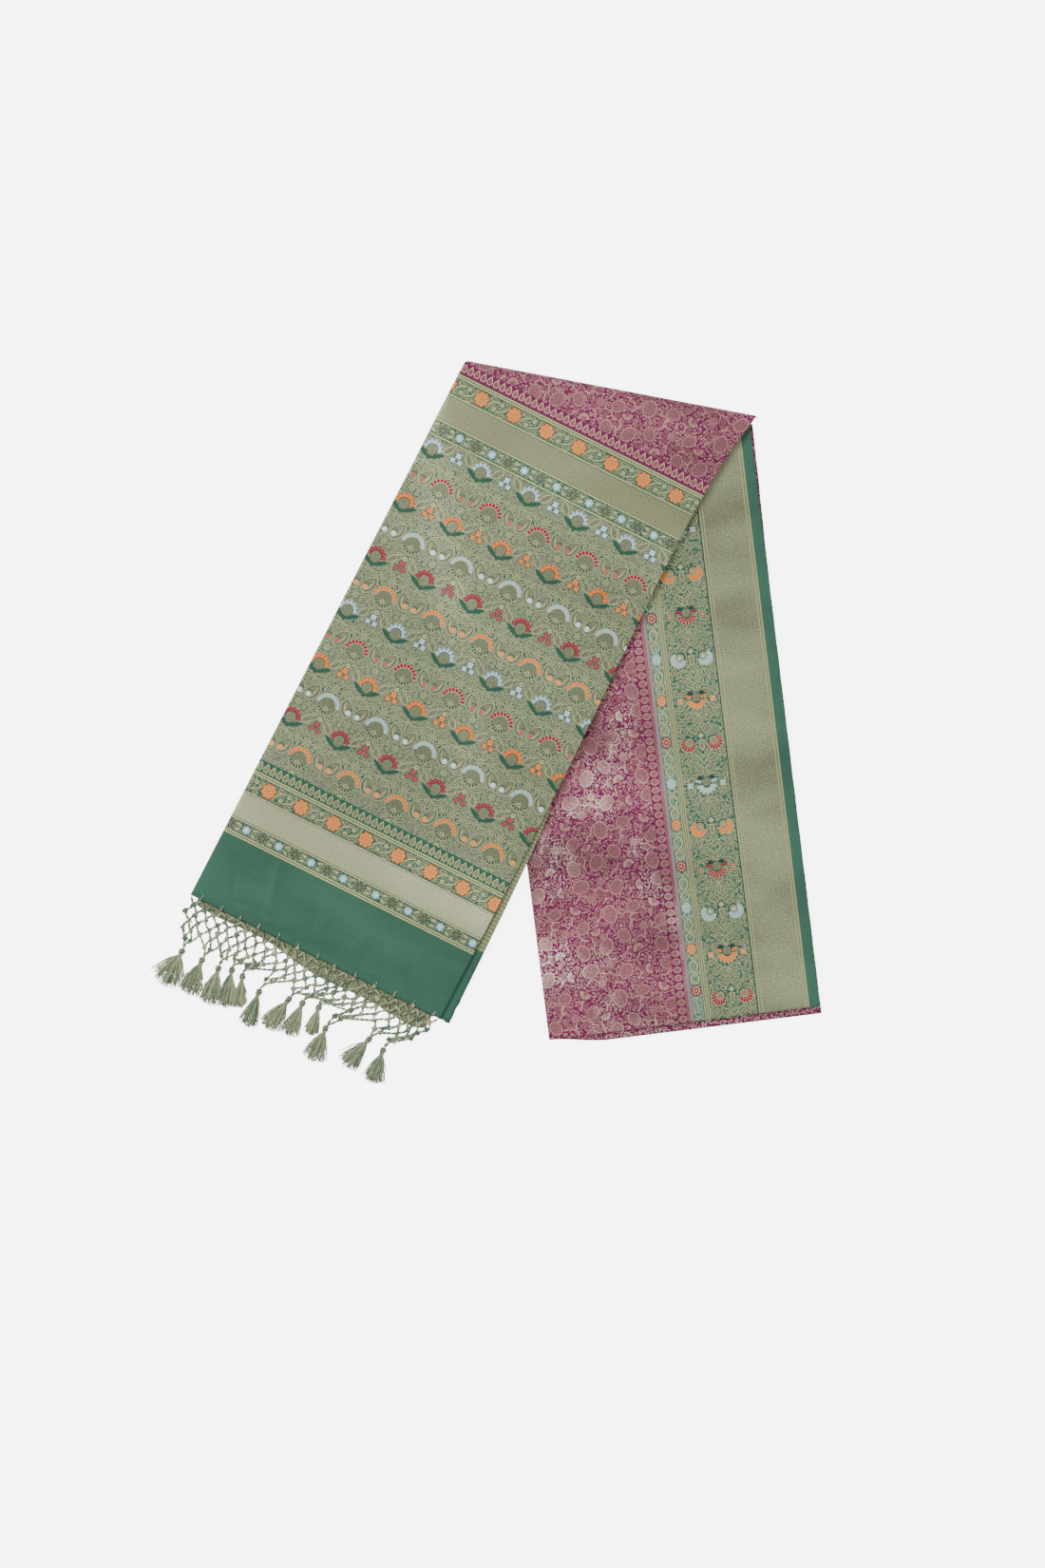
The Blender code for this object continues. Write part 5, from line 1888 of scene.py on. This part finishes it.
def tassel_piece(count, hem_along, below, turned, skirt, opening):
    """A core, five yarns wound over it, two turns and a half of the tie, and the skirt's threads."""
    draw = random.Random(100 + count)
    bm = bmesh.new()
    start = hem_place(hem_along * MM, below * MM)
    down = math.radians(-90 - turned)
    ahead = Vector((*polar(1, down), 0))
    aside = Vector((*polar(1, down + math.pi / 2), 0))
    upward = Vector((0, 0, 1))
    base = Vector((*start, HEAD_HEIGHT))
    for wrap, slot in enumerate(WOUND_YARNS):
        spots = []
        lean = draw.uniform(-0.5, 0.5)
        for step in range(37):
            share = step / 36
            place = share * (len(HEAD_PROFILE) - 1)
            low = min(int(place), len(HEAD_PROFILE) - 2)
            along, radius = (near + (far - near) * (place - low)
                             for near, far in zip(HEAD_PROFILE[low], HEAD_PROFILE[low + 1]))
            turn = wrap * WOUND_APART + share * (7.5 + lean)
            radius += 0.5 * math.sin(3.1 * turn + lean * 5)
            spots.append(base + ahead * along * MM + around(aside, upward, turn) * (radius - 0.55) * MM)
        tube(bm, spots, WOUND_THICK, 5, slot)
    core = [base + ahead * along * MM for along in (0.6, 2.4, 5.0, 8.2, 11.0)]
    tube(bm, core, CORE_THICK, 8, 0, (0.5, 0.9))
    tie = []
    for step in range(31):
        out = around(aside, upward, 2 * math.pi * step / 12)
        tie.append(base + ahead * (TIE_FROM + step * 0.035 * MM) + out * TIE_RADIUS * MM)
    tube(bm, tie, TIE_THICK, 4, 2)
    tip_rise = TIP_HEIGHT - HEAD_HEIGHT
    for strand in range(STRANDS):
        rooted = math.sqrt((strand + 0.5) / STRANDS) * SKIRT_ROOT
        turn = strand * STRAND_TURN
        side = rooted * math.cos(turn)
        rise = rooted * math.sin(turn)
        share = side / SKIRT_ROOT
        spread = math.radians(opening * 0.7 + SKIRT_LOOSE) * (share + draw.uniform(-0.3, 0.3))
        long = skirt * MM * (1 - 0.1 * abs(share)) * draw.uniform(0.8, 1.02)
        waves = draw.uniform(1.0, 2.4)
        phase = draw.uniform(0, 6.28)
        sway = draw.uniform(0.3, 1.3) * MM
        curl = draw.uniform(-0.05, 0.05)
        spots = []
        for step in range(8):
            part = step / 7
            out = long * part
            swing = sway * math.sin(phase + waves * 6.28 * part) * part + curl * out * part
            bent = spread * (1.3 - 0.35 * part)
            at = base + ahead * (SKIRT_FROM - 0.8 * MM + out * math.cos(bent))
            at += aside * (side + out * math.sin(bent) + swing)
            at.z += rise + (tip_rise + (rise + SKIRT_ROOT) * 0.5 - rise) * ease(part * 1.15)
            spots.append(at)
        thick = draw.uniform(0.36, 0.56) * MM
        tube(bm, spots, thick, 4, draw.choice((0, 0, 1, 1, 2, 2)), (1.0, 0.6))
    piece = new_piece(f"tassel_threads_{count + 1:02d}", bm, CORDS)
    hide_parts(f"tassel_{count + 1:02d}")


for count, row in enumerate(TASSELS):
    tassel_piece(count, *row)

# The stitches: short ends of the same twisted yarns, that fasten the net through the rolled hem.
# Each is knotted on the edge.
STITCH_CORD = 0.8 * MM
STITCH_PITCH = 6.0 * MM
STITCH_KNOT = 1.5 * MM
STITCHES = (12.2, 36.5, 58.9, 80.4, 104.0, 127.3, 150.7, 171.4, 195.8, 219.0, 241.6, 264.5, 288.2)


def stitches_piece():
    draw = random.Random(5)
    bm = bmesh.new()
    for at in STITCHES:
        lean = draw.uniform(-1.2, 1.2)
        route = []
        for rise, out in ((3.4, -5.6), (3.5, -4.4), (3.5, -3.0), (3.3, -1.2), (1.6, 0.5), (-0.4, 1.0)):
            spot = hem_place((at + lean * (out + 1) * -0.15) * MM, out * MM)
            top = LEG_HEIGHT + carried(spot) + 0.7 * MM
            low = net_height(1.6 * MM)
            height = top if out < -1 else low + (top - low) * max(rise, 0) / 3.4
            route.append(Vector((spot.x, spot.y, height)))
        plied(bm, route, STITCH_CORD, draw, STITCH_PITCH)
        spot = hem_place(at * MM, -0.6 * MM)
        knot(bm, Vector((spot.x, spot.y, LEG_HEIGHT + carried(spot) - 0.2 * MM)), STITCH_KNOT, draw)
    return new_piece("hem_stitches", bm, CORDS)


stitches = stitches_piece()
